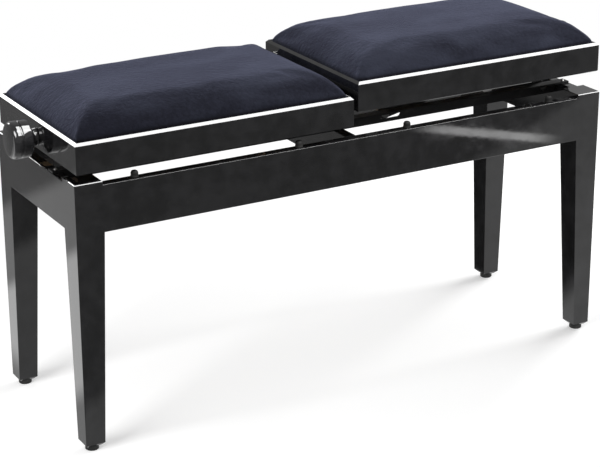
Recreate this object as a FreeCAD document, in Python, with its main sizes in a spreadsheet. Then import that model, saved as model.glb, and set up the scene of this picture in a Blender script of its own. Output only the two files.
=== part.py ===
"""Duet piano bench: two cushioned seats, each raised by its own knob on a scissor lift.

Frame: millimetres, +Z up, X along the bench, Y from front to rear. The origin is on the floor,
under the middle of the bench. Every size that can be set by itself is one row of SIZES.

Each side (left, right) is drawn once, for the right-hand end, and the left one is the same set of
pieces turned half round about Z. In that side frame +X points to the outer end.
"""
import FreeCAD, Part
import math
import os
import re
import Sketcher

SIZES = (
    # base frame
    ("base_length", 976, "over the outer faces of the legs"),
    ("base_depth", 312, "over the outer faces of the legs"),
    ("apron_top", 437, "top edge of aprons and rails above the floor"),
    ("apron_height", 76, "height of aprons and end rails"),
    ("apron_thickness", 18, "thickness of aprons and rails"),
    ("center_rail_height", 60, "height of the cross rail in the middle"),
    ("leg_width", 46, "side of the square leg, at the aprons"),
    ("leg_foot_width", 32, "side of the square leg, at the foot"),
    ("leg_rise", 6, "leg top above the apron top"),
    ("edge_round", 1.5, "rounding of the long wooden edges"),
    ("foot_bevel", 5, "bevel round the foot"),
    ("top_bevel", 1, "bevel round the leg's top"),
    ("glide_radius", 11, "foot glide"),
    ("glide_height", 8, "foot glide"),
    ("glide_bevel", 1, "bevel round the foot glide's lower face"),
    ("block_reach", 40, "corner block beyond the leg, along each rail"),
    ("block_height", 40, "corner block"),
    ("block_drop", 27, "corner block top below the apron top"),
    ("bolt_radius", 4, "hanger bolt of the leg"),
    ("bolt_depth", 36, "hanger bolt, from the block's face into the leg"),
    ("bolt_end_room", 1, "hole of the hanger bolt beyond the bolt's end"),
    ("bolt_stub", 11, "hanger bolt, free end beyond the block's face"),
    ("washer_radius", 9, "washer under the bolt's nut"),
    ("washer_thickness", 1.6, "washer under the bolt's nut"),
    ("hex_radius", 7.5, "corner radius of the hexagon nut"),
    ("hex_height", 6.5, "height of the hexagon nut"),
    ("bumper_radius", 6.5, "rubber seat bumper"),
    ("bumper_height", 11, "rubber seat bumper"),
    ("bumper_round", 3, "rounding of the seat bumper's top"),
    ("bumper_inset", 97, "bumper from each end of the seat"),
    # seats
    ("base_overhang", 5, "legs beyond the seats, at each end"),
    ("seat_depth", 308, "depth of one seat"),
    ("seat_gap", 8, "gap between the two seats"),
    ("raised_left", 7.7, "left seat above the bottom of its travel, at rest"),
    ("raised_right", 30.7, "right seat above the bottom of its travel, at rest"),
    ("rim_height", 50, "rim boards"),
    ("rim_thickness", 20, "rim boards below the rebate"),
    ("rim_bevel", 4, "bevel along the rim's top edge"),
    ("rim_lip", 5, "wall of the rim beside the cushion"),
    ("rebate_height", 33, "shelf of the rebate above the rim's underside"),
    ("board_thickness", 9, "plywood seat board"),
    ("board_clearance", 0.5, "seat board and cushion inside the lip, each side"),
    ("cushion_wall", 12, "upright edge of the cushion"),
    ("cushion_shoulder", 20, "height of the cushion's lower slopes"),
    ("shoulder_slope", 42, "cushion's lower slopes, degrees from upright"),
    ("cushion_crown", 14, "height of the cushion's upper slopes"),
    ("crown_slope", 67, "cushion's upper slopes, degrees from upright"),
    ("soft_gap", 0.3, "cushion above the seat board"),
    # lift
    ("pivot_rise", 20, "upper pivots above the rim's underside"),
    ("pivot_inset", 40, "pivots from the outer end of the seat"),
    ("track_pivot_drop", 6, "lower pivots below the apron tops"),
    ("arm_reach", 330, "pivot to pivot along an arm"),
    ("arm_half", 10, "half the width of an arm"),
    ("arm_thickness", 4, "thickness of an arm"),
    ("lift_arm_plane", 47, "middle of each lift arm from the centre plane"),
    ("follow_arm_plane", 42, "middle of each follow arm from the centre plane"),
    ("seat_track_plane", 35.5, "middle of each seat track's web from the centre plane"),
    ("base_track_plane", 53.5, "middle of each base track's web from the centre plane"),
    ("track_thickness", 3, "steel of the tracks and of the bearing plate"),
    ("track_end_room", 1, "room between the end of a track and what it stands next to"),
    ("base_track_drop", 12, "base track's web below its pivots"),
    ("base_flange", 15, "base track's flange beyond its web"),
    ("seat_track_drop", 14, "seat track's web below its pivots"),
    ("seat_flange", 18, "seat track's flange beyond its web"),
    ("lift_travel", 89.7, "height of travel of a seat"),
    ("rest_clearance", 0.3, "rim above its bumpers at the bottom of the travel"),
    ("pin_radius", 4, "pivot pins and the lift shaft"),
    ("head_radius", 6.5, "heads and shoulders of the pins"),
    ("rivet_radius", 5.5, "riveted ends of the lift shaft, beyond the base tracks"),
    ("head_thickness", 2, "heads of the pins"),
    ("running_fit", 0.05, "radial play of a pin that turns"),
    ("side_play", 0.3, "play beside a moving piece, along the pins"),
    ("cross_play", 1.5, "play of the crossing pin in the follow arm"),
    ("roller_radius", 5, "ends of the roller shaft"),
    ("roller_shaft_radius", 3.5, "roller shaft between its ends"),
    ("roller_play", 1.2, "roller in its slot, above and below"),
    ("slot_end_room", 3, "free length at each end of a slot"),
    ("journal_radius", 4.5, "ends of the nut bar"),
    ("journal_play", 0.3, "nut bar's end in the seat track's slot"),
    ("lever_play", 1.3, "nut bar's end in the lift arm's slot, across the arm"),
    ("lever_slot", 16.5, "lift arm's slot, end to end"),
    ("nut_bar_radius", 6, "nut bar between the tracks"),
    ("nut_length", 26, "nut along the spindle"),
    ("nut_width", 30, "nut across the spindle"),
    ("nut_height", 20, "nut, upright"),
    ("spindle_radius", 5, "spindle over its thread"),
    ("spindle_reach", 400, "spindle inward from the rim's outer face"),
    ("spindle_bevel", 1, "bevel of the spindle's inner end"),
    ("collar_radius", 9, "spindle's collar"),
    ("collar_length", 5, "spindle's collar"),
    ("bearing_width", 60, "bearing plate"),
    ("bearing_height", 18, "bearing plate"),
    ("spindle_hole_radius", 7, "hole in the rim for the spindle"),
    ("knob_gap", 0.5, "knob's neck from the rim"),
    ("knob_radius", 30, "knob"),
    ("knob_length", 47, "knob's outer face from the rim"),
    ("knob_neck_radius", 14, "knob's neck"),
    ("knob_neck_length", 9, "knob's neck"),
    ("knob_flare", 5, "slope from the neck to the back of the knob's grip"),
    ("knob_back_bevel", 1, "bevel at the back of the knob's grip"),
    ("knob_groove_place", 15, "groove from the knob's outer face"),
    ("knob_groove_width", 3, "groove round the knob"),
    ("knob_groove_depth", 1.6, "groove round the knob"),
    ("knob_edge", 7, "rounding of the knob's outer edge"),
    ("knob_socket", 25, "depth of the spindle in the knob"),
    # wood screws
    ("screw_radius", 2, "shank of the seat screws"),
    ("screw_head_radius", 4, "head of the seat screws"),
    ("screw_head_height", 2.2, "heads of all the screws"),
    ("screw_grip", 10, "shank of the seat screws"),
    ("screw_clearance", 0.3, "radial room of a screw in steel"),
    ("track_screw_radius", 1.75, "shank of the base track screws"),
    ("track_screw_head_radius", 3.4, "head of the base track screws"),
    ("track_screw_grip", 17, "shank of the base track screws"),
    ("seat_screw_first", 70, "first screw of a seat track from the outer end"),
    ("seat_screw_last", 59, "last screw of a seat track from the inner end"),
    ("bearing_screw_place", 22, "bearing plate's screws from the spindle"),
    ("cutter_room", 1, "cutters beyond the faces that they cut"),
)
NAMES = {name for name, _, _ in SIZES}
SIDES = {"left": -1, "right": 1}
ROWS = {"front": -1, "rear": 1}

# Places and sizes that follow from the sheet, in the side frame where they are along X.
SEAT_END = "(base_length / 2 - base_overhang)"
SEAT_LENGTH = f"({SEAT_END} - seat_gap / 2)"
SEAT_MIDDLE = f"({SEAT_END} / 2 + seat_gap / 4)"
PIVOT_X = f"({SEAT_END} - pivot_inset)"
LEG_BOTTOM = "glide_height"
LEG_TOP = "(apron_top + leg_rise)"
APRON_BOTTOM = "(apron_top - apron_height)"
SEAT_LOW = "(apron_top + bumper_height + rest_clearance)"
TRACK_PIVOT_HEIGHT = "(apron_top - track_pivot_drop)"
PIVOT_DROP_LOW = f"({SEAT_LOW} + pivot_rise - {TRACK_PIVOT_HEIGHT})"
PIVOT_DROP_HIGH = f"({PIVOT_DROP_LOW} + lift_travel)"
REACH_LOW = f"sqrt(arm_reach ^ 2 - {PIVOT_DROP_LOW} ^ 2)"
REACH_HIGH = f"sqrt(arm_reach ^ 2 - {PIVOT_DROP_HIGH} ^ 2)"
CUSHION_LENGTH = f"({SEAT_LENGTH} - 2 * (rim_lip + board_clearance))"
CUSHION_DEPTH = "(seat_depth - 2 * (rim_lip + board_clearance))"
BOLT_START = "((apron_thickness + leg_width + block_reach) / 2)"
SEAT_SCREW_PITCH = f"(({SEAT_LENGTH} - seat_screw_first - seat_screw_last) / 2)"
TRACK_SCREW_Y = "(base_track_plane + (track_thickness + base_flange) / 2)"
SCREW_CROWN = 0.6  # flat top of a screw's head, as a share of the head's radius
TOLERANCE = 0.01  # two places nearer than this are one place
UP = "rotation(vector(0; 1; 0); -90)"
DOWN = "rotation(vector(0; 1; 0); 90)"
ACROSS = "rotation(vector(0; 0; 1); 90)"

DOC = FreeCAD.newDocument("PianoBench")
SHEET = DOC.addObject("Spreadsheet::Sheet", "sizes")


def fill_sheet():
    """Write the driving sizes into the sheet, one row each: name, value, meaning."""
    for row, (name, value, meaning) in enumerate(SIZES, start=1):
        SHEET.set(f"A{row}", name)
        SHEET.set(f"B{row}", str(value))
        SHEET.setAlias(f"B{row}", name)
        SHEET.set(f"C{row}", meaning)
    DOC.recompute()


def bound(text):
    """Point every size name in an expression at the sheet."""
    return re.sub(r"[a-z_]+", lambda m: f"sizes.{m[0]}" if m[0] in NAMES else m[0], text)


def value(text):
    """Work an expression out as a plain number, for a sketch's first drawing."""
    result = SHEET.evalExpression(bound(text))
    return getattr(result, "Value", result)


# ---- sketches -------------------------------------------------------------------------------

def new_body(name):
    return DOC.addObject("PartDesign::Body", name + "_body")


def new_sketch(body, plane, offset="0"):
    """A sketch on one of the body's own origin planes, moved along the plane's normal."""
    sketch = body.newObject("Sketcher::SketchObject", "Sketch")
    origin_plane = next(o for o in body.Origin.OriginFeatures if o.Role == plane)
    sketch.AttachmentSupport = [(origin_plane, "")]
    sketch.MapMode = "FlatFace"
    sketch.setExpression("AttachmentOffset.Base.z", bound(offset))
    return sketch


def sized(kind, first, expression):
    """A constraint with a value, together with the expression that drives the value."""
    return Sketcher.Constraint(kind, *first, value(expression)), expression


def free(kind, *first):
    return Sketcher.Constraint(kind, *first), None


def at_point(geometry, end, x, y):
    """Two constraints that hold a point of the geometry at the given place."""
    return [sized("DistanceX", (-1, 1, geometry, end), x),
            sized("DistanceY", (-1, 1, geometry, end), y)]


def constrain(sketch, rules):
    """Add the constraints in one go, then tie their values to the sheet."""
    first = sketch.ConstraintCount
    sketch.addConstraint([rule for rule, _ in rules])
    for index, (_, expression) in enumerate(rules, start=first):
        if expression is not None:
            sketch.setExpression(f"Constraints[{index}]", bound(expression))


def draw_polygon(sketch, points):
    """A closed outline whose corners are pairs of expressions."""
    corners = [FreeCAD.Vector(value(x), value(y), 0) for x, y in points]
    count = len(corners)
    first = sketch.GeometryCount
    rules = []
    for i, (x, y) in enumerate(points):
        following = (i + 1) % count
        sketch.addGeometry(Part.LineSegment(corners[i], corners[following]))
        rules.append(free("Coincident", first + i, 2, first + following, 1))
        rules += at_point(first + i, 1, x, y)
    constrain(sketch, rules)


def draw_box(sketch, x_low, x_high, y_low, y_high):
    corners = ((x_low, y_low), (x_high, y_low), (x_high, y_high), (x_low, y_high))
    draw_polygon(sketch, corners)


def draw_circle(sketch, x, y, radius):
    centre = FreeCAD.Vector(value(x), value(y), 0)
    circle = sketch.addGeometry(Part.Circle(centre, FreeCAD.Vector(0, 0, 1), value(radius)))
    constrain(sketch, at_point(circle, 3, x, y) + [sized("Radius", (circle,), radius)])


def draw_slot(sketch, x_low, x_high, y, radius):
    """A slot along X: two half circles on the given centres, joined by two straight sides."""
    low, high, middle, r = value(x_low), value(x_high), value(y), value(radius)
    normal = FreeCAD.Vector(0, 0, 1)
    arcs = []
    for centre, start in ((low, math.pi / 2), (high, -math.pi / 2)):
        circle = Part.Circle(FreeCAD.Vector(centre, middle, 0), normal, r)
        arcs.append(sketch.addGeometry(Part.ArcOfCircle(circle, start, start + math.pi)))
    sides = []
    for a, b, level in ((low, high, middle - r), (high, low, middle + r)):
        side = Part.LineSegment(FreeCAD.Vector(a, level, 0), FreeCAD.Vector(b, level, 0))
        sides.append(sketch.addGeometry(side))
    loop = (arcs[0], sides[0], arcs[1], sides[1])
    rules = [free("Tangent", a, 2, b, 1) for a, b in zip(loop, loop[1:] + loop[:1])]
    rules += at_point(arcs[0], 3, x_low, y) + at_point(arcs[1], 3, x_high, y)
    rules += [sized("Radius", (arcs[0],), radius), free("Equal", arcs[0], arcs[1])]
    constrain(sketch, rules)


# ---- features -------------------------------------------------------------------------------

def pad(body, sketch, length, reverse=False, middle=False):
    feature = body.newObject("PartDesign::Pad", "Pad")
    feature.Profile = sketch
    feature.setExpression("Length", bound(length))
    feature.Reversed = reverse
    feature.Midplane = middle
    DOC.recompute()
    return feature


def pocket(body, sketch, depth=None, reverse=False):
    """Cut a sketch into the body, right through unless a depth is given."""
    before = body.Shape.Volume
    feature = body.newObject("PartDesign::Pocket", "Pocket")
    feature.Profile = sketch
    feature.Reversed = reverse
    if depth is None:
        feature.Type = "ThroughAll"
    else:
        feature.setExpression("Length", bound(depth))
    DOC.recompute()
    if not feature.Shape.Volume < before:
        raise RuntimeError(f"{body.Name}: a pocket cuts nothing")
    return feature


def dress(body, kind, base, edges, size_name, size):
    """A Fillet or Chamfer of the body on the edges of its feature base."""
    feature = body.newObject("PartDesign::" + kind, kind)
    feature.Base = (base, edges)
    feature.setExpression(size_name, bound(size))
    DOC.recompute()
    return feature


def edges_where(shape, test):
    """Names of the shape's edges whose two ends pass the test."""
    found = []
    for number, edge in enumerate(shape.Edges, start=1):
        start, end = edge.Vertexes[0].Point, edge.Vertexes[-1].Point
        if test(start, end):
            found.append(f"Edge{number}")
    return found


def drill(body, plane, offset, centres, radius, depth=None, reverse=False):
    """Round holes of one radius, from a plane of the body."""
    sketch = new_sketch(body, plane, offset)
    for x, y in centres:
        draw_circle(sketch, x, y, radius)
    return pocket(body, sketch, depth, reverse)


def turned(name, profile):
    """A turned piece about its own X axis. The profile lists (place along X, radius)."""
    body = new_body(name)
    sketch = new_sketch(body, "XY_Plane")
    start, end = profile[0][0], profile[-1][0]
    draw_polygon(sketch, [(start, "0"), *profile, (end, "0")])
    feature = body.newObject("PartDesign::Revolution", "Revolution")
    feature.Profile = sketch
    feature.ReferenceAxis = (sketch, ["H_Axis"])
    DOC.recompute()
    return body


def place(piece, x="0", y="0", z="0", turn="rotation(vector(0; 0; 1); 0)"):
    spot = f"placement(vector({x}; {y}; {z}); {turn})"
    piece.setExpression("Placement", bound(spot))
    return piece


def place_on_side(piece, side, x, y, z, turn=None):
    """Place a piece given in the side frame: the left side is turned half round."""
    sign = SIDES[side]
    half_turn = f"rotation(vector(0; 0; 1); {0 if sign > 0 else 180})"
    full_turn = half_turn if turn is None else f"{half_turn} * {turn}"
    return place(piece, f"{sign} * ({x})", f"{sign} * ({y})", z, full_turn)


def place_at_corner(piece, corner, z="0", turn=None, along="0"):
    """Place a piece drawn in a corner's frame: origin at the leg's outer corner, +X and +Y
    inward. Corners count from the front left, anticlockwise seen from above."""
    x_sign, y_sign = ((-1, -1), (1, -1), (1, 1), (-1, 1))[corner]
    quarter = f"rotation(vector(0; 0; 1); {90 * corner})"
    x = f"{x_sign} * (base_length / 2 - {along})"
    y = f"{y_sign} * (base_depth / 2 - {along})"
    return place(piece, x, y, z, quarter if turn is None else f"{quarter} * {turn}")


def group(name, pieces):
    """One node of several separate, identical solids."""
    compound = DOC.addObject("Part::Compound", name + "_group")
    compound.Links = pieces
    return labelled(compound, name)


def labelled(piece, name):
    piece.Label = name
    PARTS.append(piece)
    return piece


PARTS = []


# ---- base frame -----------------------------------------------------------------------------

def bolt_hole(name, corner):
    hole = DOC.addObject("Part::Cylinder", name)
    hole.setExpression("Radius", bound("bolt_radius"))
    hole.setExpression("Height", bound("bolt_depth + bolt_end_room"))
    level = "apron_top - block_drop - block_height / 2"
    into_leg = "rotation(vector(1; -1; 0); 90)"
    return place_at_corner(hole, corner, level, into_leg, BOLT_START)


def cut(name, solid, tool):
    result = DOC.addObject("Part::Cut", name)
    result.Base, result.Tool = solid, tool
    return result


def leg(name, corner):
    """Square leg: the two outer faces upright, the two inner ones tapered below the aprons."""
    body = new_body(name)
    front = new_sketch(body, "XZ_Plane")
    draw_polygon(front, (("0", LEG_BOTTOM), ("leg_foot_width", LEG_BOTTOM),
                         ("leg_width", APRON_BOTTOM), ("leg_width", LEG_TOP), ("0", LEG_TOP)))
    pad(body, front, "leg_width", reverse=True)
    side = new_sketch(body, "YZ_Plane")
    draw_polygon(side, (("leg_foot_width", LEG_BOTTOM), ("leg_width + cutter_room", LEG_BOTTOM),
                        ("leg_width + cutter_room", APRON_BOTTOM),
                        ("leg_width", APRON_BOTTOM)))
    tapered = pocket(body, side, reverse=True)
    low, high = value(LEG_BOTTOM) + TOLERANCE, value(LEG_TOP) - TOLERANCE
    foot = edges_where(tapered.Shape, lambda a, b: max(a.z, b.z) < low)
    bevelled = dress(body, "Chamfer", tapered, foot, "Size", "foot_bevel")
    top = edges_where(bevelled.Shape, lambda a, b: min(a.z, b.z) > high)
    capped = dress(body, "Chamfer", bevelled, top, "Size", "top_bevel")
    edge = edges_where(capped.Shape, lambda a, b: max(a.x, a.y, b.x, b.y) < TOLERANCE)
    dress(body, "Fillet", capped, edge, "Radius", "edge_round")
    place_at_corner(body, corner)
    labelled(cut(name + "_drilled", body, bolt_hole(name + "_hole", corner)), name)


def board(name, length, height, thickness):
    """Straight board: length along X, middle at the origin, top edge at z = 0."""
    body = new_body(name)
    section = new_sketch(body, "YZ_Plane")
    draw_box(section, f"-{thickness} / 2", f"{thickness} / 2", f"-{height}", "0")
    blank = pad(body, section, length, middle=True)
    long_edges = edges_where(blank.Shape, lambda a, b: abs(a.x - b.x) > TOLERANCE)
    dress(body, "Fillet", blank, long_edges, "Radius", "edge_round")
    return body


def aprons_and_rails():
    for row, sign in ROWS.items():
        name = "apron_" + row
        apron = board(name, "base_length - 2 * leg_width", "apron_height", "apron_thickness")
        place(apron, y=f"{sign} * (base_depth - apron_thickness) / 2", z="apron_top")
        labelled(apron, name)
    holes = [(f"{sign} * {TRACK_SCREW_Y}", "0") for sign in ROWS.values()]
    for side, sign in SIDES.items():
        name = "end_rail_" + side
        rail = board(name, "base_depth - 2 * leg_width", "apron_height", "apron_thickness")
        drill(rail, "XY_Plane", "0", holes, "track_screw_radius", "track_screw_grip")
        place(rail, x=f"{sign} * (base_length - apron_thickness) / 2", z="apron_top", turn=ACROSS)
        labelled(rail, name)
    name = "center_rail"
    rail = board(name, "base_depth - 2 * apron_thickness", "center_rail_height",
                 "apron_thickness")
    holes = [(f"{row} * {TRACK_SCREW_Y}", f"{side} * apron_thickness / 4")
             for row in ROWS.values() for side in SIDES.values()]
    drill(rail, "XY_Plane", "0", holes, "track_screw_radius", "track_screw_grip")
    labelled(place(rail, z="apron_top", turn=ACROSS), name)


def corner_block(corner):
    """Glue block that fills the corner between apron, end rail and leg."""
    name = f"corner_block_{corner}"
    body = new_body(name)
    plan = new_sketch(body, "XY_Plane")
    far = "leg_width + block_reach"
    draw_polygon(plan, (("apron_thickness", "leg_width"), ("leg_width", "leg_width"),
                        ("leg_width", "apron_thickness"), (far, "apron_thickness"),
                        ("apron_thickness", far)))
    pad(body, plan, "block_height")
    place_at_corner(body, corner, "apron_top - block_drop - block_height")
    return cut(name + "_drilled", body, bolt_hole(name + "_hole", corner))


def leg_bolt(corner):
    """Hanger bolt with its washer and hexagon nut on the block's face."""
    name = f"leg_bolt_{corner}"
    level = "apron_top - block_drop - block_height / 2"
    outward = "rotation(vector(0; 0; 1); 45)"
    shank = turned(name, (("-bolt_depth", "bolt_radius"), ("0", "bolt_radius"),
                          ("0", "washer_radius"), ("washer_thickness", "washer_radius"),
                          ("washer_thickness", "bolt_radius"), ("bolt_stub", "bolt_radius")))
    nut = DOC.addObject("Part::Prism", name + "_nut")
    nut.Polygon = 6
    nut.setExpression("Circumradius", bound("hex_radius"))
    nut.setExpression("Height", bound("hex_height + washer_thickness"))
    place_at_corner(shank, corner, level, outward, BOLT_START)
    place_at_corner(nut, corner, level, f"{outward} * rotation(vector(0; 1; 0); 90)", BOLT_START)
    bolt = DOC.addObject("Part::MultiFuse", name + "_set")
    bolt.Shapes = [shank, nut]
    return bolt


def foot_glide(corner):
    glide = turned(f"foot_glide_{corner}", (("0", "glide_radius - glide_bevel"),
                                            ("glide_bevel", "glide_radius"),
                                            ("glide_height", "glide_radius")))
    return place_at_corner(glide, corner, turn=UP, along="leg_foot_width / 2")


def seat_bumpers():
    """Rubber buttons along the apron tops, two under each long side of a seat."""
    inner = "(seat_gap / 2 + bumper_inset)"
    outer = f"({SEAT_END} - bumper_inset)"
    pieces = []
    for side in SIDES.values():
        for row in ROWS.values():
            for along in (inner, outer):
                bumper = turned(f"seat_bumper_{len(pieces)}", (
                    ("0", "bumper_radius"), ("bumper_height - bumper_round", "bumper_radius"),
                    ("bumper_height - bumper_round / 3", "bumper_radius - bumper_round / 3"),
                    ("bumper_height", "bumper_radius - bumper_round")))
                place(bumper, f"{side} * {along}",
                      f"{row} * (base_depth - apron_thickness) / 2", "apron_top", UP)
                pieces.append(bumper)
    group("seat_bumpers", pieces)


def screw(name, shank_radius, head_radius, grip):
    """Screw along +X from under its head; the head's face is at x = 0."""
    return turned(name, ((f"-({grip})", shank_radius), ("0", shank_radius), ("0", head_radius),
                         ("screw_head_height / 2", head_radius),
                         ("screw_head_height", f"{head_radius} * {SCREW_CROWN}")))


def base_track(side, row):
    """Steel angle on the rails: pivot hole at its outer end, roller slot at its inner end."""
    name = f"base_track_{row}_{side}"
    out = ROWS[row] * SIDES[side]
    body = new_body(name)
    web = new_sketch(body, "XZ_Plane")
    inner = f"-({PIVOT_X} - apron_thickness / 2 - track_end_room)"
    outer = f"(base_length / 2 - apron_thickness - track_end_room - {PIVOT_X})"
    top = "(track_pivot_drop + track_thickness)"
    draw_box(web, inner, outer, "-base_track_drop", top)
    draw_circle(web, "0", "0", "pin_radius + running_fit")
    draw_slot(web, f"-({REACH_LOW} + slot_end_room)", f"-({REACH_HIGH} - slot_end_room)", "0",
              "roller_radius + roller_play")
    pad(body, web, "track_thickness", middle=True)
    flange = new_sketch(body, "XY_Plane", "track_pivot_drop")
    tip = "(track_thickness / 2 + base_flange)"
    over_center = f"-({PIVOT_X} - track_end_room / 2)"
    over_end = f"(base_length / 2 - track_end_room - {PIVOT_X})"
    draw_box(flange, over_center, over_end, f"{-out} * track_thickness / 2", f"{out} * {tip}")
    screw_y = f"{out} * (track_thickness + base_flange) / 2"
    for along in (f"-({PIVOT_X} - apron_thickness / 4)",
                  f"((base_length - apron_thickness) / 2 - {PIVOT_X})"):
        draw_circle(flange, along, screw_y, "track_screw_radius + screw_clearance")
    pad(body, flange, "track_thickness")
    place_on_side(body, side, PIVOT_X, f"{out} * base_track_plane", TRACK_PIVOT_HEIGHT)
    labelled(body, name)


def base_track_screws():
    pieces = []
    for side, side_sign in SIDES.items():
        for row_sign in ROWS.values():
            for along in ("apron_thickness / 4", "(base_length - apron_thickness) / 2"):
                piece = screw(f"base_track_screw_{len(pieces)}", "track_screw_radius",
                              "track_screw_head_radius", "track_screw_grip")
                place(piece, f"{side_sign} * {along}", f"{row_sign} * {TRACK_SCREW_Y}",
                      "apron_top + track_thickness", UP)
                pieces.append(piece)
    group("base_track_screws", pieces)


def base_frame():
    for corner, name in enumerate(("front_left", "front_right", "rear_right", "rear_left")):
        leg("leg_" + name, corner)
    aprons_and_rails()
    group("corner_blocks", [corner_block(corner) for corner in range(4)])
    group("leg_bolts", [leg_bolt(corner) for corner in range(4)])
    group("foot_glides", [foot_glide(corner) for corner in range(4)])
    seat_bumpers()
    for side in SIDES:
        for row in ROWS:
            base_track(side, row)
    base_track_screws()


# ---- one seat -------------------------------------------------------------------------------

def underside(side):
    """Height of the rim's underside, at rest."""
    return f"({SEAT_LOW} + raised_{side})"


def pivot_height(side):
    return f"({underside(side)} + pivot_rise)"


def pivot_drop(side):
    """Height of the upper pivots over the lower ones, at rest."""
    return f"({pivot_height(side)} - {TRACK_PIVOT_HEIGHT})"


def reach(side):
    """Length of an arm along X, at rest."""
    return f"sqrt(arm_reach ^ 2 - {pivot_drop(side)} ^ 2)"


def rim_board(name, length):
    """Rim board along X: outer face at y = 0, bevelled top, rebate inside, mitred ends."""
    body = new_body(name)
    section = new_sketch(body, "YZ_Plane")
    draw_polygon(section, (("0", "edge_round"), ("edge_round", "0"), ("rim_thickness", "0"),
                           ("rim_thickness", "rebate_height"), ("rim_lip", "rebate_height"),
                           ("rim_lip", "rim_height"), ("rim_bevel", "rim_height"),
                           ("0", "rim_height - rim_bevel")))
    pad(body, section, length, middle=True)
    mitres = new_sketch(body, "XY_Plane")
    for sign in (-1, 1):
        tip = f"{sign} * {length} / 2"
        beyond, deep = f"{tip} + {sign} * cutter_room", "rim_thickness + cutter_room"
        draw_polygon(mitres, ((tip, "0"), (beyond, "0"), (beyond, deep),
                              (f"{tip} - {sign} * ({deep})", deep)))
    pocket(body, mitres, reverse=True)
    return body


def rim(side):
    for row, sign in ROWS.items():
        name = f"rim_{row}_{side}"
        out = sign * SIDES[side]
        turn = f"rotation(vector(0; 0; 1); {0 if out < 0 else 180})"
        piece = rim_board(name, SEAT_LENGTH)
        place_on_side(piece, side, SEAT_MIDDLE, f"{out} * seat_depth / 2", underside(side), turn)
        labelled(piece, name)
    outer = rim_board("rim_outer_" + side, "seat_depth")
    drill(outer, "XZ_Plane", "0", [("0", "pivot_rise")], "spindle_hole_radius")
    screws = [(f"{sign} * bearing_screw_place", "pivot_rise") for sign in (-1, 1)]
    drill(outer, "XZ_Plane", "-rim_thickness", screws, "screw_radius",
          "screw_grip - track_thickness", reverse=True)
    place_on_side(outer, side, SEAT_END, "0", underside(side), ACROSS)
    labelled(outer, "rim_outer_" + side)
    inner = rim_board("rim_inner_" + side, "seat_depth")
    place_on_side(inner, side, "seat_gap / 2", "0", underside(side),
                  "rotation(vector(0; 0; 1); -90)")
    labelled(inner, "rim_inner_" + side)


def seat_screw_spots():
    """Seat track screws in the side frame: places along X, and across."""
    across = "(seat_track_plane - (track_thickness + seat_flange) / 2)"
    for number in range(3):
        along = f"({SEAT_END} - seat_screw_first - {number} * {SEAT_SCREW_PITCH})"
        for sign in (-1, 1):
            yield along, f"{sign} * {across}"


def seat_board(side):
    name = "seat_board_" + side
    body = new_body(name)
    plan = new_sketch(body, "XY_Plane")
    draw_box(plan, f"-{CUSHION_LENGTH} / 2", f"{CUSHION_LENGTH} / 2",
             f"-{CUSHION_DEPTH} / 2", f"{CUSHION_DEPTH} / 2")
    pad(body, plan, "board_thickness")
    spots = [(f"{along} - {SEAT_MIDDLE}", across) for along, across in seat_screw_spots()]
    drill(body, "XY_Plane", "0", spots, "screw_radius", "screw_grip - track_thickness",
          reverse=True)
    place_on_side(body, side, SEAT_MIDDLE, "0", f"{underside(side)} + rebate_height")
    labelled(body, name)


def cushion(side):
    """Plain closed solid of the padded top: an upright edge and two rings of slopes to a crown."""
    name = "cushion_" + side
    body = new_body(name)
    inset = "tan(shoulder_slope) * cushion_shoulder"
    edge = new_sketch(body, "XY_Plane")
    draw_box(edge, f"-{CUSHION_LENGTH} / 2", f"{CUSHION_LENGTH} / 2",
             f"-{CUSHION_DEPTH} / 2", f"{CUSHION_DEPTH} / 2")
    pad(body, edge, "cushion_wall")
    for level, room, height, slope in (
            ("cushion_wall", "0", "cushion_shoulder", "shoulder_slope"),
            ("cushion_wall + cushion_shoulder", inset, "cushion_crown", "crown_slope")):
        outline = new_sketch(body, "XY_Plane", level)
        half_length, half_depth = (f"({size} / 2 - {room})"
                                   for size in (CUSHION_LENGTH, CUSHION_DEPTH))
        draw_box(outline, f"-{half_length}", half_length, f"-{half_depth}", half_depth)
        slopes = pad(body, outline, height)
        slopes.setExpression("TaperAngle", bound("-" + slope))
    DOC.recompute()
    place_on_side(body, side, SEAT_MIDDLE, "0",
                  f"{underside(side)} + rebate_height + board_thickness + soft_gap")
    labelled(body, name)


def seat_track(side, row):
    """Steel angle under the seat board: hinge pin hole at its outer end, slot for the nut bar."""
    name = f"seat_track_{row}_{side}"
    out = ROWS[row] * SIDES[side]
    body = new_body(name)
    web = new_sketch(body, "XZ_Plane")
    top = "(rebate_height - pivot_rise)"
    inner = f"-({PIVOT_X} - seat_gap / 2 - rim_thickness - track_end_room)"
    outer = "(pivot_inset - rim_thickness - track_end_room)"
    draw_box(web, inner, outer, "-seat_track_drop", top)
    draw_circle(web, "0", "0", "pin_radius")
    draw_slot(web, f"-({REACH_LOW} + slot_end_room)", f"-({REACH_HIGH} - slot_end_room)", "0",
              "journal_radius + journal_play")
    pad(body, web, "track_thickness", middle=True)
    flange = new_sketch(body, "XY_Plane", f"{top} - track_thickness")
    tip = f"{-out} * (track_thickness / 2 + seat_flange)"
    draw_box(flange, inner, outer, f"{out} * track_thickness / 2", tip)
    screw_y = f"{-out} * (track_thickness + seat_flange) / 2"
    for number in range(3):
        along = f"pivot_inset - seat_screw_first - {number} * {SEAT_SCREW_PITCH}"
        draw_circle(flange, along, screw_y, "screw_radius + screw_clearance")
    pad(body, flange, "track_thickness")
    place_on_side(body, side, PIVOT_X, f"{out} * seat_track_plane", pivot_height(side))
    labelled(body, name)


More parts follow.
